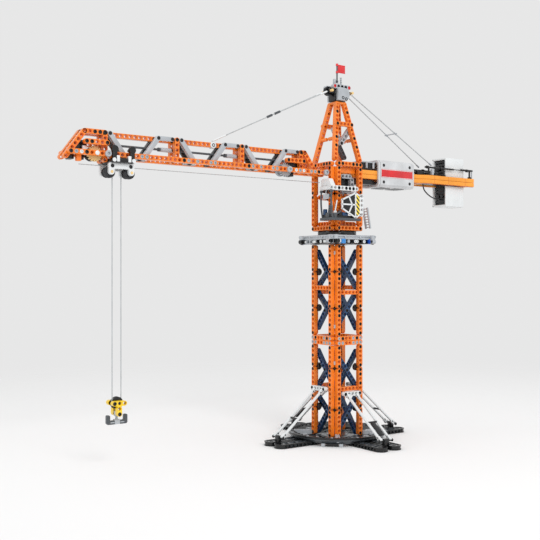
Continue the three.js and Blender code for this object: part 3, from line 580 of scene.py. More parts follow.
Moulding(turned_part([(9.2, 0.5), (9.5, 0.45), (10.9, 1.42), (10.9, 1.54), (10.0, 1.54)],
                     96)).piece("ring_skirt", DARK_GREY, "foundation", "dark_grey_plastic")

ring_studs = Moulding()
for k in range(12):
    angle = math.radians(15 + 30 * k)
    out = np.array([math.cos(angle), math.sin(angle), 0])
    ring_studs.add(turned_part([(0.12, 1.9), (0.3, 1.9), (0.3, 2.06), (0.12, 2.06)], 12),
                   placing(out * 10.62, (1, 0, 0), (0, 0, 1)))
    ring_studs.add(block((7.2, 8.5), (-0.42, 0.42), (1.05, 1.5)), placing((0, 0, 0), out, (0, 0, 1)))
for k in range(4):
    angle = math.radians(45 + 90 * k)
    out = np.array([math.cos(angle), math.sin(angle), 0])
    for aside in (-1.9, 1.9):
        ring_studs.add(block((9.0, 10.15), (aside - 0.42, aside + 0.42), (0.06, 0.66), 0.08),
                       placing((0, 0, 0), out, (0, 0, 1)))
ring_studs.piece("ring_fittings", LIGHT_GREY, "foundation", "light_grey_plastic")

# ==== Outrigger struts ====
# On each side two white bars run from a white beam on the mast down to a foot on the leg.
# They turn on black pins, and a black upright carries the foot. On the front and the back a
# black panel lies between the bars.
WHITE = plastic("white_abs", (226, 229, 230), mottle=0.02)
STRUT_TOPS, STRUT_FOOT = ((5.0, 10.5), (5.0, 11.5)), (16.0, 1.9)
STRUT_GAP = 1.3
BAR_AT = 0.62  # how far down the cross bar sits


def strut_parts(add, k):
    top_y, top_z = STRUT_TOPS[k % 2]
    add(beam(5), across(-2, -top_y, top_z))
    for x in (-STRUT_GAP, STRUT_GAP):
        top, foot = np.array([x, -top_y - 0.1, top_z - 0.2]), np.array([x, -STRUT_FOOT[0], STRUT_FOOT[1]])
        run = foot - top
        length = float(np.linalg.norm(run))
        place = placing(top, run, (1, 0, 0))
        for low, high, wide in ((0.3, length - 0.3, 0.2), (0.0, 1.1, 0.32), (length - 1.2, length, 0.36)):
            add(block((low, high), (-wide, wide), (-0.26, 0.26), 0.06), place)
        for along in (0.3, length - 0.35):
            add(turned_part([(0.2, -0.34), (0.4, -0.34), (0.44, -0.28), (0.44, 0.28), (0.4, 0.34),
                             (0.2, 0.34)], 16),
                place @ laid_flat(along, 0, 0))


Moulding().all_round(strut_parts).piece(
    "outrigger_bars", WHITE, "foundation", "white_plastic", *[f"outrigger_strut_{s}" for s in SIDES])


def strut_fittings(add, k):
    top_y, top_z = STRUT_TOPS[k % 2]
    y, z = STRUT_FOOT
    add(block((-0.62, 0.62), (-y - 0.42, -y + 0.42), (0.96, 2.3)))
    add(*bar((-1.8, -y, z), (1.8, -y, z), 0.2))
    for x in (-1.78, 1.78):
        add(*bar((x - 0.08, -y, z), (x + 0.08, -y, z), 0.34))
    spot = np.array([0, -top_y + BAR_AT * (top_y - y), top_z + BAR_AT * (z - top_z)])
    add(*bar(spot - (1.25, 0, 0), spot + (1.25, 0, 0), 0.22))
    place = placing((0, -top_y, top_z), (0, top_y - y, z - top_z), (1, 0, 0))
    if k in (0, 2):
        add(block((8.8, 12.4), (-0.12, 0.12), (-0.62, 0.62), 0.08), place)
    add(pin_rows(-top_y, (-2, 2), top_z))


Moulding().all_round(strut_fittings).piece("outrigger_feet", BLACK, "foundation", "black_plastic")

# ==== Mast posts ====
# Each corner has two columns of orange beams at right angles, end on end; seven-hole beams
# tie them at mid height and short ones between the braces.
POST_X, FACE = 3, 4
POST_RUNS = [(1.5, 6), (7.5, 9), (16.5, 5), (23.5, 6), (29.5, 8), (37.5, 6)]
TIES = ((11.5, 32.5), (33.5,))


def all_round_spots(spots):
    """The same spots and facings on all four sides."""
    return [tuple(tuple(turned(k)[:3, :3] @ np.array(v, float)) for v in spot) for spot in spots
            for k in range(4)]


def all_round_pins(y, *spots):
    """Pins that face outwards at the same (x, z) spots of every side."""
    return pins(all_round_spots([((x, y, z), (0, -1, 0)) for x, z in spots]))


def mast_beams(add, k):
    for x in (-POST_X, POST_X):
        for foot, holes in POST_RUNS:
            add(beam(holes), upright(x, -FACE, foot))
    for z in (21.5, 22.5):
        add(beam(7), across(-POST_X, -FACE, z))
    for z in TIES[k % 2]:
        add(beam(5), across(-2, -FACE + 0.04, z))


Moulding().all_round(mast_beams).piece(
    "mast_beams", ORANGE, "foundation", "orange_plastic", *[f"mast_face_{s}" for s in SIDES])

# Round black connectors join the columns inside every seam, and black and grey pins hold them.
SEAMS = (7, 16, 29, 37)
RUNS = {3: (5.5, 12.5, 14.5, 25.5, 32.5, 34.5, 40.5), -3: (9.5, 18.5, 27.5, 35.5)}


def splices(add, k):
    for seam in SEAMS:
        for x in (-2.7, 2.7):
            add(turned_part([(0, -0.4), (0.72, -0.4), (0.8, -0.3), (0.8, 0.3), (0.72, 0.4), (0, 0.4)], 24),
                across(x, -3.3, seam))
        add(block((3.42, 3.8), (-3.8, -3.42), (seam - 0.12, seam + 0.12)))


splice = Moulding().all_round(splices)
seam_rows = [seam + step for seam in SEAMS for step in (-0.5, 0.5)]
splice.add(all_round_pins(-FACE, *[(x, z) for x in (-POST_X, POST_X)
                                   for z in seam_rows + [1.5, 20.5, 23.5, 42.5, *RUNS[x]]]))
splice.add(all_round_pins(-FACE, (-2, 22.5), (2, 22.5)))
splice.piece("mast_splices", BLACK, "foundation", "black_plastic")

tie_pins = Moulding()
tie_pins.add(all_round_pins(-FACE, (-3, 21.5), (-3, 22.5), (-2, 21.5), (1, 21.5), (1, 22.5), (2, 21.5),
                            (3, 21.5), (3, 22.5)))
for k in range(4):
    for z in (17.2, 25.1, 41.1):
        tie_pins.add(block((3.42, 3.75), (-3.75, -3.42), (z - 0.4, z + 0.4)), turned(k))
tie_pins.piece("mast_tie_pins", LIGHT_GREY, "foundation", "light_grey_plastic")

# ==== Mast braces ====
# Navy beams climb the inside of each face corner to corner, and turn over at every storey.
NAVY = plastic("navy_abs", (22, 64, 106))
BRACE_FEET = ((1.5, 1), (11.5, -1), (24.5, 1), (33.5, -1))


def brace_beams(add, k):
    for foot, lean in BRACE_FEET:
        add(beam(11), placing((-3 * lean, -POST_X, foot), (6 * lean, 0, 8), (0, 1, 0)))


Moulding().all_round(brace_beams).piece(
    "mast_braces", NAVY, "foundation", "blue_plastic",
    *[f"mast_brace_{half}_{s}" for half in ("lower", "upper") for s in SIDES])

Moulding(all_round_pins(-POST_X, *[(0, foot + 4) for foot, lean in BRACE_FEET])).piece(
    "brace_pins", BLACK, "foundation", "black_plastic")

# ==== Walkway ====
# A square gallery round the mast's head: light grey rails on black girders with black corner
# posts, carried by white brackets and, front and back, an azure and a blue block.
LINK_Z = 43.6
WALK_HALF = 6.4


def walkway_rails(add, k):
    add(beam(13), laid_flat(-6, -5.15, 44.5))
    add(beam(5), across(-6.4, -5.0, LINK_Z))
    for x in (-5, -1, 3):
        add(block((x - 0.3, x + 0.3), (-5.35, -4.85), (43.3, 44.2)))
    add(*bar((-WALK_HALF, -5.75, 44.75), (WALK_HALF - 1.2, -5.75, 44.75), 0.16))
    for x in (-6.1, -2.4, 1.8, 5.0):
        add(block((x - 0.18, x + 0.18), (-5.9, -5.1), (44.3, 44.9), 0.06))


Moulding().all_round(walkway_rails).piece(
    "walkway_rails", LIGHT_GREY, "foundation", "light_grey_plastic", "walkway")


def walkway_girders(add, k):
    add(block((-6.1, 6.1), (-4.66, -4.52), (43.1, 44.0)))
    add(beam(7), across(0.2, -4.98, 43.62))
    for x in (-6.0, 6.0):
        add(block((x - 0.35, x + 0.35), (-5.5, -4.7), (43.15, 44.1)))
        add(*bar((x, -5.1, 43.0), (x, -5.1, 44.9), 0.26))
    for n in range(9):
        add(block((-4.2 + n - 0.12, -4.2 + n + 0.12), (-5.5, -4.6), (44.05, 44.2), 0.03))


Moulding().all_round(walkway_girders).piece("walkway_girders", BLACK, "foundation", "black_plastic")

BOSS = [(0.12, 0.3), (0.34, 0.3), (0.34, 0.52), (0.12, 0.52)]
for name, x, finish in (("walkway_azure_blocks", -2.9, plastic("azure_abs", (58, 140, 210))),
                        ("walkway_blue_blocks", 4.75, plastic("blue_abs", (24, 84, 190)))):
    blocks = Moulding()
    for k in (0, 2):
        blocks.add(block((x - 0.5, x + 0.5), (-5.98, -5.05), (43.1, 44.1), 0.08), turned(k))
        blocks.add(turned_part(BOSS, 14), turned(k) @ across(x, -5.55, LINK_Z, -1))
    blocks.piece(name, finish, "foundation", "light_grey_plastic")

brackets = Moulding()
for k in (0, 2):
    brackets.add(block((-5.4, -3.5), (-5.85, -5.1), (43.3, 44.0), 0.12), turned(k))
    for x in (-5.0, 0.4):
        brackets.add(turned_part(BOSS, 16), turned(k) @ across(x, -5.42, LINK_Z, -1))
for k in (1, 3):
    for x in (-4.6, -1.2, 2.6):
        brackets.add(block((x - 0.5, x + 0.5), (-5.6, -5.1), (43.3, 43.9), 0.12), turned(k))
brackets.add(all_round_pins(-5.08, (1.2, LINK_Z), (3.2, LINK_Z)))
brackets.piece("walkway_brackets", WHITE, "foundation", "white_plastic")

# ==== Turntable ====
# Two black rings turn on each other; the lower one has a rim of gear teeth, which a node tree
# sets round it.
TURN_R, TEETH = 4.02, 56
TOOTH = shape_object("rim_tooth", block((-0.1, 0.1), (-0.42, 0.42), (0, 0.26), 0.03))
lower_ring = Moulding(turned_part([(1.65, 43.08), (TURN_R, 43.08), (TURN_R, 44.7), (3.5, 44.72),
                                   (3.5, 44.96), (1.65, 44.96)], 56))
lower_ring.add(stood(TOOTH, [((TURN_R * math.cos(a), TURN_R * math.sin(a), 44.2),
                              (math.cos(a), math.sin(a), 0))
                             for a in np.arange(TEETH) * 2 * math.pi / TEETH]))
lower_ring.piece("turntable_gear", BLACK, "foundation", "black_plastic", "turntable_fixed")

upper_ring = Moulding(turned_part([(1.65, 45.05), (4.0, 45.05), (4.26, 45.15), (4.26, 45.7), (4.1, 45.94),
                                   (1.65, 45.94)], 56))
for k in range(8):
    a = math.radians(22.5 + 45 * k)
    upper_ring.add(block((3.2, 4.3), (-0.45, 0.45), (45.2, 45.97)),
                   placing((0, 0, 0), (math.cos(a), math.sin(a), 0), (0, 0, 1)))
upper_ring.piece("turntable_top", BLACK, "superstructure", "black_plastic", "turntable_turning")

# ==== Turning tower ====
# The mast's four corners go on above the turntable, between frames of seven-hole beams.
# Behind the front beams hang the motor and its gear case.


def tower_beams(add, k):
    for x in (-POST_X, POST_X):
        add(beam(7), upright(x, -FACE, 47.5))
        add(beam(6), upright(x, -FACE, 54.5))
    for z in (46.5, 60.5):
        add(beam(7), across(-POST_X, -FACE, z))
    add(beam(5), across(-2, -FACE + 1.0, 47.5))
    add(beam(5), across(-2, -FACE + 1.0, 53.5))


tower = Moulding().all_round(tower_beams)
for y in (-3.0, 3.0):
    tower.add(block((-2.45, 2.45), (y - 0.3, y + 0.3), (58.6, 59.9), 0.1))
tower.piece("tower_beams", ORANGE, "superstructure", "orange_plastic", *[f"tower_face_{s}" for s in SIDES])

Moulding(all_round_pins(-FACE, *[(x, z) for x in (-3, 3) for z in (46.5, 53.5, 54.5, 59.5, 60.5)]),
         all_round_pins(-FACE, *[(x, 60.5) for x in (-2, 1, 2)])).piece(
             "tower_pins", BLACK, "superstructure", "black_plastic")

motor = Moulding(block((-2.25, 2.25), (-2.3, 2.3), (54.5, 57.5), 0.2))
motor.add(*bar((-2.35, 0, 53.6), (2.35, 0, 53.6), 1.08, 28, 0.12))
motor.add(block((-0.75, 0.75), (-0.75, 0.75), (53.6, 54.6)))
for z in np.arange(54.9, 57.2, 0.42):
    motor.add(block((-2.0, 2.0), (-2.4, -2.2), (z, z + 0.2), 0.03))
motor.piece("motor_case", BLACK, "superstructure", "black_plastic", "motor_box")

works = Moulding()
works.add(beam(3), across(-1, -2.9, 57.9))
works.add(beam(3), upright(1.6, -2.9, 55.2))
works.add(*bar((-2.4, -2.9, 54.4), (2.4, -2.9, 54.4), 0.24))
works.add(turned_part([(0, -0.4), (0.7, -0.4), (0.8, -0.3), (0.8, 0.3), (0.7, 0.4), (0, 0.4)], 16),
          placing((-1.2, -2.9, 54.4), (0, 0, 1), (1, 0, 0)))
works.piece("gear_train", LIGHT_GREY, "superstructure", "light_grey_plastic")

# ==== Cab ====
# A white roof frame with a sloping hood, dark grey floor, seat and bowed window bars, and a
# white framed door with black panes and a yellow and black warning strip. Inside are a black
# console with white levers and navy blocks, and a light grey screen.
ROOF_Y, ROOF_Z = -5.2, 55


def plate(outline, low, high, edge=0.04):
    """A flat plate: its outline in X and Y, from low to high in Z, with rounded rims."""
    shell = bmesh.new()
    face = shell.faces.new([shell.verts.new((x, y, low)) for x, y in outline])
    walls = bmesh.ops.extrude_face_region(shell, geom=[face])
    bmesh.ops.translate(shell, vec=(0, 0, high - low),
                        verts=[g for g in walls["geom"] if isinstance(g, bmesh.types.BMVert)])
    rims = [e for e in shell.edges if abs(e.verts[0].co.z - e.verts[1].co.z) < 1e-6]
    bmesh.ops.bevel(shell, geom=rims, offset=edge, segments=2, affect="EDGES", profile=0.5)
    shell.verts.index_update()
    shape = [tuple(v.co) for v in shell.verts], [[v.index for v in f.verts] for f in shell.faces]
    shell.free()
    return shape


def hose(path, radius, sides=10):
    """A tube with closed ends along a list of points; radius may be a list, one for each point."""
    path = np.asarray(path, float)
    radii = np.broadcast_to(radius, len(path))
    heading = np.gradient(path, axis=0)
    heading /= np.linalg.norm(heading, axis=1)[:, None]
    up = np.array([0.13, 0.21, 0.97])
    points, faces = [], []
    for spot, ahead, r in zip(path, heading, radii):
        aside = np.cross(ahead, up)
        aside /= np.linalg.norm(aside)
        up = np.cross(aside, ahead)
        points += [tuple(spot + r * (math.cos(a) * aside + math.sin(a) * up))
                   for a in np.arange(sides) * 2 * math.pi / sides]
    for ring in range(len(path) - 1):
        for i in range(sides):
            j = (i + 1) % sides
            a, b = ring * sides, (ring + 1) * sides
            faces.append([a + i, a + j, b + j, b + i])
    faces += [list(range(sides)), list(range(len(points) - sides, len(points)))[::-1]]
    return points, faces


roof = Moulding()
roof.add(beam(8), across(-6, ROOF_Y, ROOF_Z))
roof.add(block((-6.4, -5.6), (-4.95, -1.85), (54.6, 55.4), 0.1))
hood = [(-5.6, 55.45), (-2.0, 55.45), (-2.0, 56.7), (-2.5, 57.0), (-4.6, 57.0)]
roof.add(plate(hood, -0.6, 0.6, 0.1), placing((-5.5, 0, 0), (0, 1, 0), (1, 0, 0)))
roof.piece("cab_roof_frame", WHITE, "superstructure", "white_plastic", "cab_roof")

Moulding(pin_rows(ROOF_Y, (-4, -2, -1, 0), ROOF_Z), block((-4.9, -2.2), (-5.1, -1.9), (54.55, 54.8))).piece(
    "cab_roof_pins", BLACK, "superstructure", "black_plastic")

shell = Moulding()
floor = [(-6.35, -5.95), (1.95, -5.95), (1.95, -4.66), (-4.66, -4.66), (-4.66, -1.95), (-6.35, -1.95)]
shell.add(plate(floor, 48.02, 48.3, 0.05))
shell.add(block((-6.3, 1.9), (-5.95, -5.65), (48.2, 48.6), 0.08))
shell.add(block((-6.4, -6.1), (-5.9, -2.0), (48.2, 48.6), 0.08))
for x, y in ((-6.1, -5.7), (-6.1, -2.2)):
    sweep = [(x + 0.35 - 1.1 * t * (1 - t) - 0.35 * t, y, 48.4 + 5.95 * t) for t in np.linspace(0, 1, 14)]
    shell.add(hose(sweep, 0.2, 10))
    shell.add(block((x - 0.3, x + 0.3), (y - 0.3, y + 0.3), (54.0, 54.5), 0.08))
shell.add(block((-5.95, -4.8), (-4.5, -3.3), (48.5, 49.7), 0.15))
shell.add(plate([(-5.3, 49.5), (-4.85, 49.5), (-4.7, 51.3), (-5.05, 51.4)], -0.6, 0.6, 0.1),
          across(0, -3.9, 0, -1))
shell.add(*bar((-5.9, -4.6, 49.2), (-6.1, -5.2, 50.6), 0.1, 8))
shell.add(block((-5.4, -4.7), (-5.8, -5.2), (48.5, 49.6), 0.12))
shell.add(*bar((-5.2, -5.45, 49.0), (-3.3, -5.45, 50.1), 0.2, 10))
shell.piece("cab_tub", DARK_GREY, "superstructure", "dark_grey_plastic", "cab_shell")

screen = Moulding(block((-6.15, -5.9), (-4.7, -2.6), (52.6, 53.7), 0.1))
screen.add(*bar((-6.02, -3.6, 53.5), (-5.9, -3.6, 54.7), 0.12))
screen.piece("cab_screen", LIGHT_GREY, "superstructure", "light_grey_plastic")

levers = Moulding()
levers.add(*bar((-4.6, -4.95, 49.8), (-4.0, -4.95, 52.4), 0.15))
levers.add(*bar((-5.4, -4.95, 50.0), (-5.45, -4.95, 52.1), 0.11))
levers.add(block((-4.9, -4.2), (-5.15, -4.7), (49.5, 50.1), 0.1))
levers.piece("cab_levers", WHITE, "superstructure", "white_plastic")

console = Moulding(block((-4.4, 0.6), (-5.3, -4.7), (48.25, 49.15), 0.1),
                   block((-3.8, -3.0), (-5.4, -4.75), (49.1, 50.2), 0.1),
                   block((-5.85, -5.1), (-3.2, -2.2), (48.25, 49.3), 0.1))
console.piece("cab_console", BLACK, "superstructure", "black_plastic")

cab_blocks = Moulding(block((-2.8, -1.2), (-5.35, -4.75), (49.1, 49.85), 0.1),
                      block((-5.8, -5.15), (-3.1, -2.3), (49.25, 50.5), 0.1))
cab_blocks.piece("cab_blue_blocks", NAVY, "superstructure", "blue_plastic")

DOOR_RIM = [(-3.4, 50.5), (0.6, 48.5), (1.9, 49.4), (1.9, 53.5), (0.6, 54.35), (-3.4, 52.6)]
DOOR_BARS = [((-3.2, 50.6), (-3.2, 52.55)), ((-3.3, 52.45), (0.6, 54.15)), ((0.5, 54.1), (1.8, 53.4)),
             ((1.75, 53.5), (1.75, 49.4)), ((1.8, 49.55), (0.6, 48.7)), ((0.6, 48.7), (-3.3, 50.65)),
             ((-3.3, 51.53), (0.5, 51.53)), ((0.5, 48.8), (0.5, 54.1)), ((-1.35, 53.2), (-0.5, 51.6)),
             ((-1.35, 49.8), (-0.5, 51.4))]
door = Moulding()
for (x0, z0), (x1, z1) in DOOR_BARS:
    run = np.array([x1 - x0, 0, z1 - z0])
    length = float(np.linalg.norm(run))
    door.add(block((-0.12, length + 0.12), (-0.17, 0.17), (-0.16, 0.16), 0.05),
             placing((x0, -5.72, z0), run, (0, 1, 0)))
door.add(beam(5), upright(2.3, -5.3, 49.5))
door.piece("cab_door_frame", WHITE, "superstructure", "white_plastic", "cab_door")

panes = Moulding()
pane_rim = [(x * 0.97, z) for x, z in DOOR_RIM[:1] + [(0.5, 48.7), (0.5, 54.1)] + DOOR_RIM[-1:]]
panes.add(plate(pane_rim, -0.06, 0.06, 0.02), across(0, -5.68, 0, -1))
panes.piece("cab_door_panes", BLACK, "superstructure", "black_plastic")


BAND = 0.0076  # metres from one yellow band to the next


def warning_strip():
    """Slanting yellow and black bands."""
    material = plastic("warning_strip", (250, 220, 60), rough=0.4)
    tree = material.node_tree
    spot = node_of(tree, "ShaderNodeTexCoord").outputs["Object"]
    parts = node_of(tree, "ShaderNodeSeparateXYZ", feeds={0: spot}).outputs
    lean = node_of(tree, "ShaderNodeMath", feeds={0: parts["X"], 1: parts["Z"]}, operation="ADD").outputs[0]
    bands = node_of(tree, "ShaderNodeMath", {1: BAND, 2: 0.0}, {0: lean}, operation="WRAP").outputs[0]
    pick = node_of(tree, "ShaderNodeMath", {1: BAND / 2}, {0: bands}, operation="GREATER_THAN").outputs[0]
    mix = node_of(tree, "ShaderNodeMix", {6: (*linear(250, 220, 60), 1), 7: (*linear(24, 24, 24), 1)},
                  {0: pick}, data_type="RGBA")
    tree.links.new(mix.outputs[2], tree.nodes["Principled BSDF"].inputs["Base Color"])
    return material


strip = Moulding()
strip.add(plate([(0.62, 48.85), (1.65, 49.55), (1.65, 53.35), (0.62, 54.0)], -0.1, 0.1, 0.03),
          across(0, -5.74, 0, -1))
strip.piece("cab_warning_strip", warning_strip(), "superstructure", "yellow_plastic")

# ==== Ladder ====
# Two light grey side rails with eight round rungs hang from the tower beside the cab.
LADDER_TOP, LADDER_RUN = np.array([4.85, -3.9, 51.2]), np.array([0.9, 0, -4.6])
ladder = Moulding()
for y in (-0.7, 0.7):
    ladder.add(*bar(LADDER_TOP + (0, y, 0), LADDER_TOP + LADDER_RUN + (0, y, 0), 0.24, 12))
for t in np.linspace(0.06, 0.94, 8):
    rung = LADDER_TOP + LADDER_RUN * t
    ladder.add(*bar(rung - (0, 0.74, 0), rung + (0, 0.74, 0), 0.09, 8))
ladder.piece("ladder_rails", LIGHT_GREY, "superstructure", "light_grey_plastic", "access_ladder")

# ==== Peak ====
# Four fifteen-hole legs lean together over the tower, tied by five-hole beams and round
# spacers; two grey links steady them inside.
PEAK_FOOT, PEAK_TOP, PEAK_LOW, APEX = 3.45, 1.05, 61.56, 74.1


def on_leg(sx, sy, t):
    reach = PEAK_FOOT + (PEAK_TOP - PEAK_FOOT) * t
    return np.array([sx * reach, sy * reach, PEAK_LOW + (APEX - PEAK_LOW) * t])


peak = Moulding()
for sx in (-1, 1):
    for sy in (-1, 1):
        run = on_leg(sx, sy, 1) - on_leg(sx, sy, 0)
        peak.add(beam(14), placing(on_leg(sx, sy, 0), run, (0, 1, 0)))
for sy in (-1, 1):
    tie = on_leg(1, sy, 0.63)
    peak.add(beam(5), across(-2, tie[1] + sy * 0.35, tie[2]))
for sx in (-1, 1):
    for sy in (-1, 1):
        spot = on_leg(sx, sy, 0.37)
        peak.add(*bar(spot, spot * (1, 0.15, 1), 0.42, 14, 0.08))
peak.add(block((-1.45, 1.45), (-1.45, 1.45), (APEX - 0.1, APEX + 0.45), 0.12))
peak.piece("peak_legs", ORANGE, "superstructure", "orange_plastic", "peak_frame")

link_grey = Moulding()
link_grey.add(beam(5), placing((0.0, -1.2, 65.4), (0.75, 0, 1.0), (0, 1, 0)))
link_grey.add(beam(3), placing((-1.9, -1.2, 68.3), (0.6, 0, -1), (0, 1, 0)))
link_grey.piece("peak_links", LIGHT_GREY, "superstructure", "light_grey_plastic")
link_dark = Moulding()
link_dark.add(beam(4), placing((0.2, -0.2, 65.0), (0.6, 0, -1.0), (0, 1, 0)))
link_dark.piece("peak_dark_link", DARK_GREY, "superstructure", "dark_grey_plastic")
peak_pins = Moulding()
for sx in (-1, 1):
    for sy in (-1, 1):
        tie = on_leg(sx, sy, 0.63)
        peak_pins.add(pins([((sx * 2, tie[1] + sy * 0.35, tie[2]), (0, sy, 0))]))
        out = np.cross(on_leg(sx, sy, 1) - on_leg(sx, sy, 0), (sy, 0, 0))
        peak_pins.add(pins([(on_leg(sx, sy, t), out) for t in (3 / 13, 5 / 13, 11 / 13)]))
peak_pins.add(pins([((0.0, -1.2, 65.4), (0, -1, 0)), ((-1.9, -1.2, 68.3), (0, -1, 0)),
                    ((2.4, -1.2, 68.6), (0, -1, 0))]))
peak_pins.piece("peak_pins", BLACK, "superstructure", "black_plastic")

# ==== Head ====
# Grey rounded cheeks on a black core carry the rope rollers; a beam of black pins lies on top,
# with tan axle stops and a small mast for the flag beside it.
RED = plastic("red_abs", (214, 38, 44))
TAN = plastic("tan_abs", (240, 204, 136))
HEAD_AXLE_Z, HEAD_BEAM_Z = 76.8, 77.8
head = Moulding()
cheek = [(-1.2, 74.8), (1.3, 74.8)] + [(0.6 + 1.45 * math.cos(a), 76.2 + 1.45 * math.sin(a))
                                       for a in np.linspace(-0.6, math.pi / 2, 9)] + [(-1.2, 77.65)]
for y in (-1.6, 1.6):
    head.add(plate(cheek, -0.42, 0.42, 0.12), across(0, y, 0, -1))
head.add(beam(5), across(-2, -1.35, HEAD_BEAM_Z))
head.add(beam(5), across(-2, 1.35, HEAD_BEAM_Z))
head.add(*bar((0, -0.45, 78.4), (0, 0.45, 78.4), 0.45, 16))
head.add(block((-1.0, -0.5), (-0.3, 0.3), (78.2, 79.8), 0.12))
for z in np.arange(78.3, 80.0, 0.42):
    head.add(turned_part([(0.1, 0), (0.24, 0.04), (0.24, 0.28), (0.1, 0.32)], 10),
             laid_flat(1.1, 0, z))
head.add(*bar((1.1, 0, 78.0), (1.1, 0, 80.05), 0.11, 8))
head.piece("head_cheeks", LIGHT_GREY, "superstructure", "light_grey_plastic", "peak_head")

head_core = Moulding(block((-1.55, 1.5), (-1.15, 1.15), (APEX + 0.6, 77.35), 0.15))
for side in (-0.8, 0.8):
    head_core.add(block((-3.0, -1.4), (side - 0.24, side + 0.24), (76.3, 77.4), 0.2))
    head_core.add(block((1.4, 3.3), (side - 0.24, side + 0.24), (76.4, 77.2), 0.2))
head_core.add(turned_part([(0, -0.35), (0.98, -0.35), (0.98, -0.2), (0.75, 0), (0.98, 0.2), (0.98, 0.35),
                           (0, 0.35)], 24),
              across(-2.65, 0, HEAD_AXLE_Z))
head_core.add(pins([((x, side * 1.35, HEAD_BEAM_Z), (0, side, 0)) for x in (-1, 0, 1) for side in (-1, 1)]))
head_core.add(pins([((x, -1.6, z), (0, -1, 0)) for x, z in ((0.1, 75.4), (1.0, 75.2))]))
head_core.piece("head_core", BLACK, "superstructure", "black_plastic")

head_stops = Moulding()
for x in (-2.65, 3.05):
    head_stops.add(*bar((x, -1.85, HEAD_AXLE_Z), (x, -1.1, HEAD_AXLE_Z), 0.3, 14))
    head_stops.add(*bar((x, 1.1, HEAD_AXLE_Z), (x, 1.85, HEAD_AXLE_Z), 0.3, 14))
head_stops.piece("head_axle_stops", TAN, "superstructure", "tan_plastic")
Moulding(pins([((x, side * 1.35, HEAD_BEAM_Z), (0, side, 0)) for x in (-2, 2)
               for side in (-1, 1)])).piece("head_red_pins", RED, "superstructure", "red_plastic")

# ==== Flag ====
# A red flag of moulded plastic with a raised hem, on a thin dark grey pole that turns in its clip.
pole = Moulding()
pole.add(*bar((0, 0, 78.97), (0, 0, 83.28), 0.17, 12))
pole.add(turned_part([(0, 0), (0.3, 0.05), (0.3, 0.45), (0, 0.5)], 14),
         laid_flat(0, 0, 79.0))
pole.piece("flag_pole", DARK_GREY, "flag", "light_grey_plastic", "flag")
cloth = Moulding(block((0.1, 2.28), (-0.06, 0.06), (81.28, 83.08), 0.04))
for z in (81.36, 83.0):
    cloth.add(block((0.02, 2.3), (-0.09, 0.09), (z - 0.08, z + 0.08), 0.03))
    cloth.add(turned_part([(0.18, -0.25), (0.28, -0.25), (0.28, 0.25), (0.18, 0.25)], 14),
              laid_flat(0, 0, z))
cloth.piece("flag_cloth", RED, "flag", "red_plastic")

# ==== Counter-jib ====
# Smooth amber beams, two high, run back from the tower, widen by a short angled length and
# carry black handrails; a darker orange plate under each side is painted shade on the beams' undersides.
AMBER = plastic("amber_abs", (250, 160, 48))
RAIL_Z = 61.75
CJ_END = 40.4
CJ_SIDE = [(2.65, 2.0), (22.6, 2.0), (24.6, 3.0), (CJ_END, 3.0)]


def side_strip(y_out, y_in, side):
    return [(x, side * (y + y_out)) for x, y in CJ_SIDE] + [(x, side * (y + y_in)) for x,
                                                            y in reversed(CJ_SIDE)]


counter = Moulding()
for side in (-1, 1):
    for low, high in ((57.93, 58.88), (58.92, 59.87)):
        counter.add(plate(side_strip(HALF_WIDTH, -HALF_WIDTH, side), low, high, 0.07))
for x, wide in ((CJ_END - 0.95, 2.6), (24.3, 2.6)):
    counter.add(block((x, x + 0.92), (-wide, wide), (58.0, 59.8), 0.07))
counter.piece("counter_jib_beams", AMBER, "superstructure", "amber_plastic", "counter_jib")

# Darker orange: thin lines at the joints between the beams, and a plate under each side that is painted shade
# on the undersides.
joint_lines_and_underside_shade = Moulding()
for side in (-1, 1):
    for x, y in ((14.6, 2.0), (26.9, 3.0), (31.6, 3.0), (37.3, 3.0)):
        joint_lines_and_underside_shade.add(block((x - 0.04, x + 0.04), (side * (y + 0.47) - 0.02, side * (y + 0.47) + 0.02),
                        (58.05, 59.75), 0.01))
    joint_lines_and_underside_shade.add(plate(side_strip(0.3, -0.3, side), 57.86, 57.95, 0.02))
joint_lines_and_underside_shade.piece("counter_jib_undersides", plastic("joint_lines_and_painted_shade_orange", (196, 84, 24)), "superstructure",
            "amber_plastic")

handrail = Moulding()
for side in (-1, 1):
    for x in (25.4, 27.6, 30.4, 39.3):
        handrail.add(*bar((x, side * 3, 59.8), (x, side * 3, RAIL_Z), 0.22, 10))
        handrail.add(block((x - 0.35, x + 0.35), (side * 3 - 0.35, side * 3 + 0.35), (59.86, 60.3), 0.08))
    handrail.add(*bar((24.2, side * 3, RAIL_Z), (33.8, side * 3, RAIL_Z), 0.22, 10))
    handrail.add(*bar((36.2, side * 3, 61.85), (40.3, side * 3, 61.85), 0.24, 10))
    handrail.add(*bar((33.8, side * 3, RAIL_Z), (36.2, side * 3, 61.8), 0.1, 8))
    for x in (25.0, 29.4, 38.4):
        handrail.add(turned_part([(0.24, -0.3), (0.36, -0.3), (0.36, 0.3), (0.24, 0.3)], 12),
                     placing((x, side * 3, 61.78), (0, 0, 1), (1, 0, 0)))
    handrail.add(block((22.2, 24.4), (side * 2 - 0.5, side * 2 + 0.5), (59.95, 60.8), 0.12))
for x in (22.8, 26.4, 29.2):
    handrail.add(*bar((x, -2.3, 60.6), (x, 2.3, 60.6), 0.3, 12))
handrail.add(block((24.6, 31.2), (-1.3, 1.3), (58.1, 60.4), 0.15))
handrail.add(block((4.8, 9.2), (-2.2, 2.2), (60.0, 61.6), 0.15))
handrail.add(block((5.0, 9.2), (-2.1, 2.1), (56.7, 57.8), 0.15))
handrail.piece("counter_jib_rails", BLACK, "superstructure", "black_plastic")

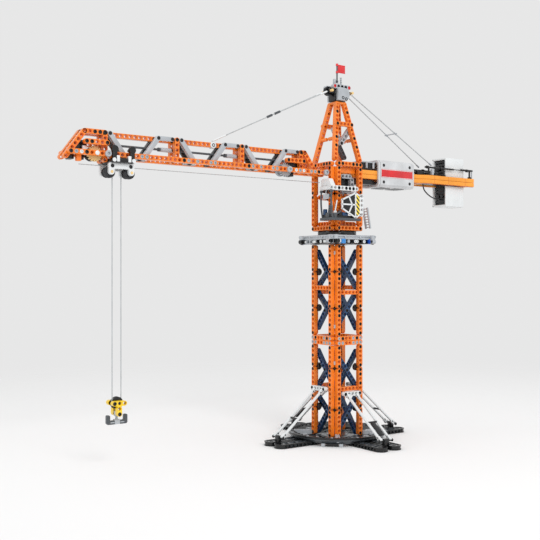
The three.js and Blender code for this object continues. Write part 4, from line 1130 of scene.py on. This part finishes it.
rail_posts = Moulding()
for x in (6.6, 8.6):
    rail_posts.add(*bar((x, -2.35, 60.3), (x, -2.35, 61.7), 0.26, 12))
rail_posts.add(block((4.7, 9.3), (-2.3, 2.3), (61.55, 61.85), 0.1))
for side in (-1, 1):
    rail_posts.add(block((26.2, 26.9), (side * 3 - 0.3, side * 3 + 0.3), (60.0, 61.4), 0.1))
    rail_posts.add(*bar((40.1, side * 3, 59.9), (40.1, side * 3, 61.7), 0.15, 8))
rail_posts.piece("counter_jib_fittings", LIGHT_GREY, "superstructure", "light_grey_plastic")

# ==== Sign housing ====
# A light grey box of four panels with cut corners slides over the beams. Each side has a
# plain red banner, and black pins hold its corners.
CUT, LOW, HIGH, SIGN = 0.55, 56.3, 62.3, (9.6, 20.6)
RIM_LINE = [(-3, LOW + CUT), (-3 + CUT, LOW), (3 - CUT, LOW), (3, LOW + CUT), (3, HIGH - CUT),
            (3 - CUT, HIGH), (-3 + CUT, HIGH), (-3, HIGH - CUT)]
WALL = 0.45


def housing_wall(loop, inner, x0, x1):
    """A tube of flat panels between two eight-sided loops in the Y-Z plane."""
    points = [(x, y, z) for x in (x0, x1) for ring_line in (loop, inner) for y, z in ring_line]
    count = len(loop)
    faces = []
    for i in range(count):
        j = (i + 1) % count
        faces += [[i, j, 2 * count + j, 2 * count + i], [count + i, count + j, 3 * count + j, 3 * count + i],
                  [i, j, count + j, count + i], [2 * count + i, 2 * count + j, 3 * count + j, 3 * count + i]]
    return points, faces


middle_z = (LOW + HIGH) / 2
shrunk = [(y * (3 - WALL) / 3, middle_z + (z - middle_z) * (3 - WALL) / 3) for y, z in RIM_LINE]
sign = Moulding()
for x0, x1, grow in ((SIGN[0], 10.15, 1.0), (10.2, 19.95, 1.012), (20.0, SIGN[1], 1.0)):
    wide = [(y * grow, middle_z + (z - middle_z) * grow) for y, z in RIM_LINE]
    sign.add(housing_wall(wide, shrunk, x0, x1))
for side in (-1, 1):
    for x0, x1 in ((11.2, 14.7), (15.5, 19.0)):
        sign.add(block((x0, x1), (side * 1.4 - 0.8, side * 1.4 + 0.8), (HIGH - 0.02, HIGH + 0.14), 0.05))
sign.piece("sign_panels", plastic("pale_grey_abs", (206, 208, 210)), "superstructure", "light_grey_plastic",
           "sign_housing")

CAP = shape_object("capped_pin", turned_part(
    [(0, 0.3), (0.36, 0.3), (0.365, 0.47), (0.34, 0.5), (0.22, 0.5), (0.2, 0.47), (0, 0.47)], 12))
sign_pins = Moulding()
sign_pins.add(stood(CAP, [((x, side * 2.58, z), (0, side, 0)) for x in (11.2, 19.2) for z in (57.4, 61.2)
                          for side in (-1, 1)]))
for x0, x1 in ((11.5, 14.4), (15.8, 18.7)):
    sign_pins.add(block((x0, x1), (-0.5, 0.5), (HIGH - 0.1, HIGH + 0.05), 0.03))
    sign_pins.add(block((x0, x1), (-1.7, 1.7), (LOW - 0.12, LOW + 0.1), 0.05))
sign_pins.piece("sign_pins", BLACK, "superstructure", "black_plastic")

banner = Moulding()
for side in (-1, 1):
    banner.add(block((10.5, 20.1), (side * 3.05 - 0.02, side * 3.05 + 0.02), (58.45, 60.35), 0.015))
banner.piece("sign_banner", RED, "superstructure", "red_plastic")
banner_rim = Moulding()
for side in (-1, 1):
    for z in (58.55, 60.25):
        banner_rim.add(block((10.65, 19.95), (side * 3.074 - 0.008, side * 3.074 + 0.008),
                             (z - 0.05, z + 0.05), 0.005))
banner_rim.piece("sign_banner_lines", WHITE, "superstructure", "white_plastic")

# ==== Counterweight ====
# Two white shells above and below the beams close round a black battery case, with its
# ribs and switches showing at the open end; a black lead runs to it in a curve.
CASE_X, CASE_HALF = (31.8, 38.0), 2.15
case = Moulding()
for low, high, floor_z in ((59.95, 64.6, 64.15), (52.9, 57.8, 52.9)):
    for side in (-1, 1):
        case.add(block(CASE_X, (side * CASE_HALF - 0.18, side * CASE_HALF + 0.18)
                       if side < 0 else (CASE_HALF - 0.36, CASE_HALF), (low, high), 0.1))
    case.add(block(CASE_X, (-CASE_HALF, CASE_HALF), (floor_z, floor_z + 0.45), 0.1))
    case.add(block((CASE_X[1] - 0.42, CASE_X[1]), (-CASE_HALF, CASE_HALF), (low, high), 0.1))
case.piece("counterweight_shells", WHITE, "superstructure", "white_plastic", "counterweight_case")

battery = Moulding(block((32.5, 37.5), (-1.7, 1.7), (53.4, 64.1), 0.15))
for z in np.arange(53.9, 63.8, 0.8):
    battery.add(block((32.15, 32.6), (-1.5, 1.5), (z, z + 0.42), 0.06))
for z in (55.4, 62.2):
    battery.add(*bar((32.0, -0.7, z), (32.3, -0.7, z), 0.42, 16))
    battery.add(block((32.0, 32.3), (0.2, 1.3), (z - 0.6, z + 0.6), 0.08))
battery.piece("battery_case", BLACK, "superstructure", "black_plastic", "battery_pack")

lead_points = np.array([(24.8, -1.6, 57.85), (25.4, -1.6, 56.4), (27.2, -1.5, 55.2), (29.4, -1.3, 54.6),
                        (31.85, -1.1, 54.6)])


def smooth_line(points, steps):
    """A smooth curve through the points."""
    padded = np.vstack([2 * points[0] - points[1], points, 2 * points[-1] - points[-2]])
    line = []
    for a, b, c, d in zip(padded, padded[1:], padded[2:], padded[3:]):
        for t in np.linspace(0, 1, steps, endpoint=False):
            line.append(0.5 * (2 * b + (c - a) * t + (2 * a - 5 * b + 4 * c - d) * t ** 2
                               + (3 * b - a - 3 * c + d) * t ** 3))
    return np.array(line + [points[-1]])


Moulding(hose(smooth_line(lead_points, 8), 0.15, 12)).piece("battery_lead", BLACK, "superstructure",
                                                            "black_plastic", "pack_cable")

# ==== Stays ====
# Pale grey twisted cords hold the jib and counter-jib up from the head. They end in grey and
# white connectors, and a thin spreader keeps the pair behind apart.


def cord_finish():
    material = plastic("twisted_cord", (184, 188, 190), rough=0.8, grain=0.3, coat=0.0)
    tree = material.node_tree
    spot = node_of(tree, "ShaderNodeTexCoord").outputs["Object"]
    lay = node_of(tree, "ShaderNodeTexWave", {"Scale": 420, "Distortion": 1.5}, {"Vector": spot})
    relief = node_of(tree, "ShaderNodeBump", {"Strength": 0.5, "Distance": 0.0003},
                     {"Height": lay.outputs["Fac"]})
    tree.links.new(relief.outputs["Normal"], tree.nodes["Principled BSDF"].inputs["Normal"])
    return material


CORD = cord_finish()


def cord(start, end, radius=0.12, pitch=0.8):
    """A straight twisted cord: a tube whose girth swells along its lay."""
    start, end = np.asarray(start, float), np.asarray(end, float)
    steps = max(2, int(np.linalg.norm(end - start) / pitch * 4))
    t = np.linspace(0, 1, steps)
    return hose(start + (end - start) * t[:, None], radius * (1 + 0.12 * np.sin(t * steps * math.pi / 2)), 6)


back = Moulding()
mids = []
for side in (-1, 1):
    top, low = np.array([3.55, side * 0.8, 76.5]), np.array([27.2, side * 2.1, 62.35])
    back.add(cord(top, low))
    mids.append(top + (low - top) * 0.53)
back.piece("backstay_cords", CORD, "superstructure", "string", "backstay")
spreader = Moulding()
spreader.add(*bar(mids[0] + (0, -0.55, 0), mids[1] + (0, 0.55, 0), 0.14, 10))
for spot, side in zip(mids, (-1, 1)):
    spreader.add(*bar(spot - (0.35, 0, -0.2), spot + (0.35, 0, -0.2), 0.2, 10))
    low = np.array([27.2, side * 2.1, 62.35])
    spreader.add(*bar(low + (-0.9, 0, 0.55), low, 0.2, 10))
spreader.piece("backstay_spreader", LIGHT_GREY, "superstructure", "light_grey_plastic")

fore = Moulding()
knot, anchor = np.array([-17.2, 0.5, 70.15]), np.array([-31.7, 1, 63.35])
for side in (-1, 1):
    fore.add(cord((-3.35, side * 0.8, 76.6), knot))
fore.add(cord(knot, anchor))
fore.piece("forestay_cords", CORD, "superstructure", "string", "forestay")
fore_ends = Moulding()
slope = (anchor - knot) / np.linalg.norm(anchor - knot)
for along, length in ((-2.2, 1.6), (0.0, 1.5)):
    fore_ends.add(*bar(knot + slope * along, knot + slope * (along + length), 0.26, 12, 0.08))
fore_ends.piece("forestay_connectors", DARK_GREY, "superstructure", "dark_grey_plastic")
fore_cap = Moulding()
fore_cap.add(*bar(anchor - slope * 3.6, anchor - slope * 0.1, 0.18, 12, 0.08))
for side in (-1, 1):
    fore_cap.add(*bar((-3.5, side * 0.8, 76.55), (-5.3, side * 0.72, 75.7), 0.2, 12, 0.08))
fore_cap.piece("forestay_sleeves", WHITE, "superstructure", "white_plastic")

# ==== Jib ====
# Two trusses of drilled beams stand side by side on the bottom chords. Smooth light grey bars
# make the front truss's diagonals and top links, and black ones the rear truss's diagonals;
# pins hold them to the beams.
CHORD_Z, RISE = 58.5, 4
UPRIGHTS = (-11, -26, -41, -56)


def jib_beam(add, holes, x, y, z, run):
    add(beam(holes), placing((x, y, CHORD_Z + z), run, (0, 1, 0)))


def strap(length, half=0.47, thick=0.44):
    """A smooth bar with round ends, drawn along +X from its first pin to its last."""
    ends = [(length * (i < 9) + half * math.cos(a), half * math.sin(a))
            for i, a in enumerate(list(np.linspace(-math.pi / 2, math.pi / 2, 9))
                                  + list(np.linspace(math.pi / 2, 3 * math.pi / 2, 9)))]
    return plate(ends, -thick, thick, 0.07)


def truss_beams(add, side):
    jib_beam(add, 61, -63, side * 2, 0, (1, 0, 0))
    for x in UPRIGHTS:
        jib_beam(add, 6 if x == -56 else 5, x, side, RISE, (0, 0, -1))
    for x in (-60, -15):
        jib_beam(add, 5, x, side * 2, 2, (1, 0, 0))
    jib_beam(add, 7, -59.99, side, RISE, (-3, 0, -4))
    jib_beam(add, 6, -10, side, RISE, (3, 0, -4))


front = Moulding()
truss_beams(front.add, -1)
jib_beam(front.add, 5, -60, -1, RISE, (1, 0, 0))
jib_beam(front.add, 2, -11, -1, RISE, (1, 0, 0))
front.add(block((-61.6, -60.7), (-1.6, -0.7), (56.9, 58.1), 0.1))
front.piece("jib_front_beams", ORANGE, "superstructure", "orange_plastic", "jib_front")

rear = Moulding()
truss_beams(rear.add, 1)
jib_beam(rear.add, 51, -60, 1, RISE, (1, 0, 0))
rear.piece("jib_rear_beams", ORANGE, "superstructure", "orange_plastic", "jib_rear")

DIAGONALS = [(x + 1, 3) for x in UPRIGHTS[1:]] + [(x - 4, -3) for x in UPRIGHTS[:-1]]
grey_bars, black_bars = Moulding(), Moulding()
for bars, side in ((grey_bars, -1), (black_bars, 1)):
    for x, run in DIAGONALS:
        bars.add(strap(5), placing((x, side, CHORD_Z + RISE), (run, 0, -4), (0, 1, 0)))
for x in UPRIGHTS[:3]:
    grey_bars.add(strap(3, 0.42, 0.36), across(x - 4, -1.05, CHORD_Z + RISE))
for x in (-22, -37, -48):
    grey_bars.add(block((x - 1.4, x + 1.4), (0.95, 1.5), (58.1, 58.75), 0.1))
    grey_bars.add(*bar((x, -1.5, CHORD_Z), (x, 1.5, CHORD_Z), 0.25, 12))
for x in (-56, -15, -5.2):
    grey_bars.add(turned_part([(0, 2.45), (0.58, 2.45), (0.6, 2.5), (0.6, 3.0), (0.52, 3.08), (0.3, 3.08),
                               (0.28, 2.8), (0, 2.8)], 20),
                  across(x, 0, CHORD_Z, -1))
grey_bars.piece("jib_grey_bars", LIGHT_GREY, "superstructure", "light_grey_plastic")
for x in (-60.5, -12.1):
    black_bars.add(block((x - 1.2, x + 1.2), (-0.6, 0.9), (59.2, 60.9), 0.1))
for x in (-62.2, -60.3, -12.9):
    black_bars.add(block((x - 0.5, x + 0.5), (-0.6, 1.2), (57.3, 58.4), 0.1))
black_bars.piece("jib_black_bars", BLACK, "superstructure", "black_plastic")

chord_pins, grey_pins, tip_pins = Moulding(), Moulding(), Moulding()
tip_pins.add(turned_part([(0, 2.4), (0.42, 2.4), (0.42, 2.56), (0.36, 2.6), (0, 2.6)], 20),
             across(-58, 0, CHORD_Z, -1))
tip_pins.add(block((-60.4, -59.6), (-1.5, -0.9), (59.0, 59.8), 0.1))
tip_pins.add(pin_rows(-2, (-61, -13, -11), CHORD_Z))
tip_pins.piece("jib_white_pins", WHITE, "superstructure", "white_plastic")
on_front = [(x, -1, RISE) for x in UPRIGHTS]
on_straps = [((x, -1, CHORD_Z + RISE), (0, -1, 0)) for v in UPRIGHTS for x in (v - 4, v - 1, v + 1)
             if -60 < x < -10]
chord_pins.add(stood(CAP, on_straps))
on_front += [(x, -2, 2) for x in (-60, -59, -56, -15, -11)]
on_front += [(x, -2, 0) for x in (-63, -60, -40, -25, -7)] + [(-58, -1, RISE)]
chord_pins.add(pins([((x, y, CHORD_Z + z), (0, -1, 0)) for x, y, z in on_front]))
chord_pins.add(pin_rows(2, (-63, -56, -49, -41, -33, -26, -18, -11, -7), CHORD_Z, facing=1))
chord_pins.add(pin_rows(1, [x for v in UPRIGHTS for x in (v - 4, v, v + 1) if -60 < x < -9], CHORD_Z + RISE,
                        facing=1))
chord_pins.piece("jib_black_pins", BLACK, "superstructure", "black_plastic")
grey_pins.add(pin_rows(-2, (-62, -49, -48, -39, -37, -34, -33, -24, -22, -19, -18, -12, -8, -9), CHORD_Z))
grey_pins.piece("jib_grey_pins", LIGHT_GREY, "superstructure", "light_grey_plastic")

lug = Moulding()
lug.add(turned_part([(0, -0.62), (0.62, -0.62), (0.7, -0.54), (0.7, 0.42), (0.62, 0.5), (0, 0.5)], 24),
        across(-31.7, 1, CHORD_Z + RISE))
lug.piece("forestay_lug", WHITE, "superstructure", "white_plastic")
Moulding(pin_rows(0.83, (-31.7,), CHORD_Z + RISE)).piece(
    "forestay_lug_pin", BLACK, "superstructure", "black_plastic")

# ==== Jib's drive shaft, gears and rope ====
# A long axle with grey sleeves turns a gear and a rope pulley at each end of the jib; the
# trolley's rope runs back under the chords.
SHAFT_Z = 60.5
shaft = Moulding()
shaft.add(*bar((-56.6, 0, SHAFT_Z), (-14.4, 0, SHAFT_Z), 0.22, 12))
for x in (-44.4, -29.4):
    shaft.add(*bar((x - 0.1, 0, SHAFT_Z), (x + 0.3, 0, SHAFT_Z), 0.4, 12))
shaft.piece("drive_axle", DARK_GREY, "drive_shaft", "dark_grey_plastic", "drive_shaft")
sleeves = Moulding()
for x in (-44, -29):
    sleeves.add(*bar((x, 0, SHAFT_Z), (x + 2.4, 0, SHAFT_Z), 0.43, 20, 0.08))
for x in (-56.4, -14.6):
    sleeves.add(turned_part([(0, -0.2), (0.3, -0.2), (0.3, 0.2), (0, 0.2)], 20),
                placing((x, 0, SHAFT_Z), (0, 1, 0), (1, 0, 0)))
sleeves.piece("drive_sleeves", LIGHT_GREY, "drive_shaft", "light_grey_plastic")

TOOTH_16 = shape_object("gear_tooth", block((-0.16, 0.16), (-0.3, 0.3), (0, 0.3), 0.04))
for place, x, gear_finish, gear_slot, drum_finish, drum_slot in (
        ("tip", -58, TAN, "tan_plastic", BLACK, "black_plastic"),
        ("root", -15, LIGHT_GREY, "light_grey_plastic", LIGHT_GREY, "light_grey_plastic")):
    body = place + "_pulley"
    wheel = Moulding()
    wheel.add(turned_part([(0.25, -0.3), (1.17, -0.3), (1.17, 0.3), (0.85, 0.3), (0.8, 0.2), (0.5, 0.2),
                           (0.45, 0.3), (0.25, 0.3)], 32),
              across(x, -1.02, CHORD_Z))
    wheel.add(stood(TOOTH_16, [((x + 1.15 * math.cos(a), -1.02, CHORD_Z + 1.15 * math.sin(a)),
                                (math.cos(a), 0, math.sin(a)))
                               for a in np.arange(16) * math.pi / 8]))
    wheel.piece(place + "_gear", gear_finish, body, gear_slot, body)
    drum = Moulding()
    drum.add(*bar((x, -1.45, CHORD_Z), (x, 1.45, CHORD_Z), 0.24, 12))
    drum.add(turned_part([(0.2, 0.3), (1.22, 0.3), (1.25, 0.42), (1.0, 0.6), (1.0, 0.7), (1.25, 0.88),
                          (1.22, 1.0), (0.2, 1.0)], 32),
             across(x, 0, CHORD_Z))
    drum.piece(place + "_drum", drum_finish, body, drum_slot)

Moulding(cord((-60.6, 0, 56.52), (-4.9, 0, 56.52), 0.065)).piece(
    "trolley_cord", CORD, "superstructure", "string", "jib_rope")

# ==== Trolley ====
# A white plate on each side holds the sheaves' axles; the black frame above hangs from arms
# whose rollers run on the chords, with tan tips on the axles.
ARM_Z, ROLLER_Z = 57.4, 59.4
TROLLEY_X, AXLE_Z = -53.1, 55.3


def trolley(x, y, z):
    return (TROLLEY_X + x, y, z)


sides = Moulding()
outline = [(2 + 0.55 * math.cos(a), AXLE_Z + 0.55 * math.sin(a)) for a in np.linspace(0, -math.pi, 11)]
outline += [(1.45, 55.75), (1.3, 55.9), (-1.3, 55.9), (-1.45, 55.75)]
outline += [(-2 + 0.55 * math.cos(a), AXLE_Z + 0.55 * math.sin(a)) for a in np.linspace(0, -math.pi, 11)]
outline += [(-2.55, 56.8), (-2.35, 57), (2.35, 57), (2.55, 56.8)]
for y in (-2, 2):
    sides.add(plate([(x, -z) for x, z in reversed(outline)], -0.4, 0.4, 0.06), across(*trolley(0, y, 0)))
for x in (-1.15, 1.15):
    sides.add(block((TROLLEY_X + x - 0.3, TROLLEY_X + x + 0.3), (-3.42, -2.7), (57.1, 58.25), 0.08))
sides.piece("trolley_sides", WHITE, "trolley", "light_grey_plastic", "trolley_body")

ROLLER = [(0, -0.34), (0.66, -0.34), (0.7, -0.2), (0.7, 0.2), (0.66, 0.34), (0, 0.34)]
frame = Moulding()
for y in (-1, 1):
    frame.add(block((TROLLEY_X - 2.3, TROLLEY_X + 2.3), (y * 2.3 - 1.0, y * 2.3 + 1.0), (56.95, 57.85), 0.3))
for x in (-1, 1):
    frame.add(block((TROLLEY_X + x * 1.55 - 0.65, TROLLEY_X + x * 1.55 + 0.65), (-1.4, 1.4), (57.0, 57.8),
                    0.1))
    for y in (-3, 3):
        frame.add(strap(2, 0.45, 0.3), upright(*trolley(x * 1.75, y, ARM_Z)))
        frame.add(turned_part(ROLLER, 24), across(*trolley(x * 1.75, y, ROLLER_Z)))
        frame.add(*bar(trolley(x * 1.6, y, ROLLER_Z), trolley(x * 1.6, y * 0.6, ROLLER_Z), 0.28, 14))
frame.add(stood(CAP, [(trolley(x, y * 1.98, 56.4), (0, y, 0)) for x in (-1.9, 1.8) for y in (-1, 1)]))
frame.piece("trolley_frame", BLACK, "trolley", "black_plastic")

ARM_BOSS = [(0, 0.1), (0.33, 0.1), (0.38, 0.16), (0.38, 0.24), (0.2, 0.26), (0, 0.2)]
bosses = Moulding()
for x in (-1.95, 1.95):
    for y in (-1, 1):
        bosses.add(turned_part(ARM_BOSS, 16), across(*trolley(x, y * 3.22, ARM_Z), y))
bosses.piece("trolley_bosses", WHITE, "trolley", "white_plastic")
axle_tips = Moulding()
for x in (-2, 2):
    for y in (-1, 1):
        axle_tips.add(*bar(trolley(x, y * 2.3, AXLE_Z), trolley(x, y * 2.52, AXLE_Z), 0.26, 16))
axle_tips.piece("trolley_axle_tips", TAN, "trolley", "tan_plastic")

# ==== Sheaves ====
# Two grooved rubber wheels, each on an axle in the trolley's side plates; a grey hub shows
# at the middle of each.
RUBBER = plastic("sheave_rubber", (38, 39, 42), rough=0.6, grain=0.35, coat=0.0, mottle=0.15)
TREAD = [(0.5, -0.33), (0.86, -0.33), (0.96, -0.26), (0.84, -0.06), (0.84, 0.06), (0.96, 0.26), (0.86, 0.33),
         (0.5, 0.33)]
TYRE = [(0.5, -0.4), (0.95, -0.4), (1.08, -0.32), (1.1, 0), (1.08, 0.32), (0.95, 0.4), (0.5, 0.4)]
for body, x in (("sheave_outer", -2), ("sheave_inner", 2)):
    tyre = Moulding()
    tyre.add(turned_part(TREAD, 40), across(*trolley(x, 0, AXLE_Z)))
    tyre.add(turned_part(TYRE, 40), across(*trolley(x, -1.08, AXLE_Z)))
    tyre.piece(body + "_tyre", RUBBER, body, "sheave_rubber", body)
    hub = Moulding()
    hub.add(*bar(trolley(x, -1.5, AXLE_Z), trolley(x, 1.5, AXLE_Z), 0.22, 12))
    for y in (-1.08, 0):
        hub.add(*bar(trolley(x, y - 0.3, AXLE_Z), trolley(x, y + 0.3, AXLE_Z), 0.53, 24, 0.05))
    hub.piece(body + "_hub", DARK_GREY, body, "dark_grey_plastic")

# ==== Hoist rope ====
# One pale grey cord goes down from the trolley, round the hook's pulley and up again.
FALL_X, LOOP_Z = 0.9, 12.35
down = [trolley(-FALL_X, 0, z) for z in np.linspace(56.2, LOOP_Z, 130)]
loop = [trolley(-FALL_X * math.cos(a), 0, LOOP_Z - FALL_X * math.sin(a))
        for a in np.linspace(0, math.pi, 17)[1:-1]]
up = [trolley(FALL_X, 0, z) for z in np.linspace(LOOP_Z, 56.2, 130)]
rope = Moulding(hose(down + loop + up, 0.1, 8))
rope_piece = rope.piece("hoist_cord", CORD, "", "string", "hoist_rope")
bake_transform(rope_piece)

# ==== Hook block ====
# Two yellow T plates with pins clasp a black pulley; a link below carries the hook.
YELLOW = plastic("yellow_abs", (250, 208, 30))
tees = Moulding()
for y in (-1, 1):
    tees.add(beam(3), across(*trolley(-1, y, LOOP_Z)))
    tees.add(beam(2), placing(trolley(0, y, LOOP_Z - 1), (0, 0, -1), (0, 1, 0)))
    tees.add(block((TROLLEY_X - 0.47, TROLLEY_X + 0.47), (y - 0.46, y + 0.46), (LOOP_Z - 0.6, LOOP_Z - 0.42),
                   0.02))
tees.piece("hook_plates", YELLOW, "hook_block", "yellow_plastic", "hook_block")
pulley = Moulding()
pulley.add(turned_part([(0.2, -0.45), (1.14, -0.45), (1.16, -0.36), (0.8, -0.12), (0.8, 0.12), (1.16, 0.36),
                        (1.14, 0.45), (0.2, 0.45)], 36),
           across(*trolley(0, 0, LOOP_Z)))
for z, x in ((LOOP_Z, -1), (LOOP_Z - 2, 0)):
    pulley.add(pins([(trolley(x, y, z), (0, y, 0)) for y in (-1, 1)]))
pulley.add(*bar(trolley(0, -1.2, LOOP_Z), trolley(0, 1.2, LOOP_Z), 0.24, 12))
pulley.piece("hook_pulley", BLACK, "hook_block", "black_plastic")
Moulding(block((TROLLEY_X - 0.38, TROLLEY_X + 0.38), (-0.5, 0.5), (9.86, 10.85), 0.12)).piece(
    "hook_link", LIGHT_GREY, "hook_block", "light_grey_plastic")

# ==== Load hook ====
# Two dark grey arms turn up at their ends, on a light grey middle piece that turns in the
# link on a short axle.
HOOK_ARM = [(0.5, 8.37), (1.85, 8.37), (2.08, 8.6), (2.08, 9.97), (1.95, 10.13), (1.6, 10.13), (1.42, 9.97),
            (1.42, 9.2), (1.35, 9.1), (0.5, 9.1)]
arms = Moulding()
for side in (-1, 1):
    arm = [(side * x, -z) for x, z in HOOK_ARM]
    arms.add(plate(arm if side < 0 else arm[::-1], -0.44, 0.44, 0.1), across(*trolley(0, 0, 0)))
arms.piece("hook_arms", DARK_GREY, "load_hook", "dark_grey_plastic", "load_hook")
shank = Moulding(block((TROLLEY_X - 0.56, TROLLEY_X + 0.56), (-0.45, 0.45), (8.36, 9.3), 0.12))
shank.add(*bar(trolley(0, 0, 9.1), trolley(0, 0, 9.78), 0.24, 16))
for side in (-1, 1):
    shank.add(block(sorted((TROLLEY_X + side * 0.6, TROLLEY_X + side * 1.4)), (-0.45, 0.45), (8.66, 8.84),
                    0.02))
shank.piece("hook_shank", LIGHT_GREY, "load_hook", "light_grey_plastic")
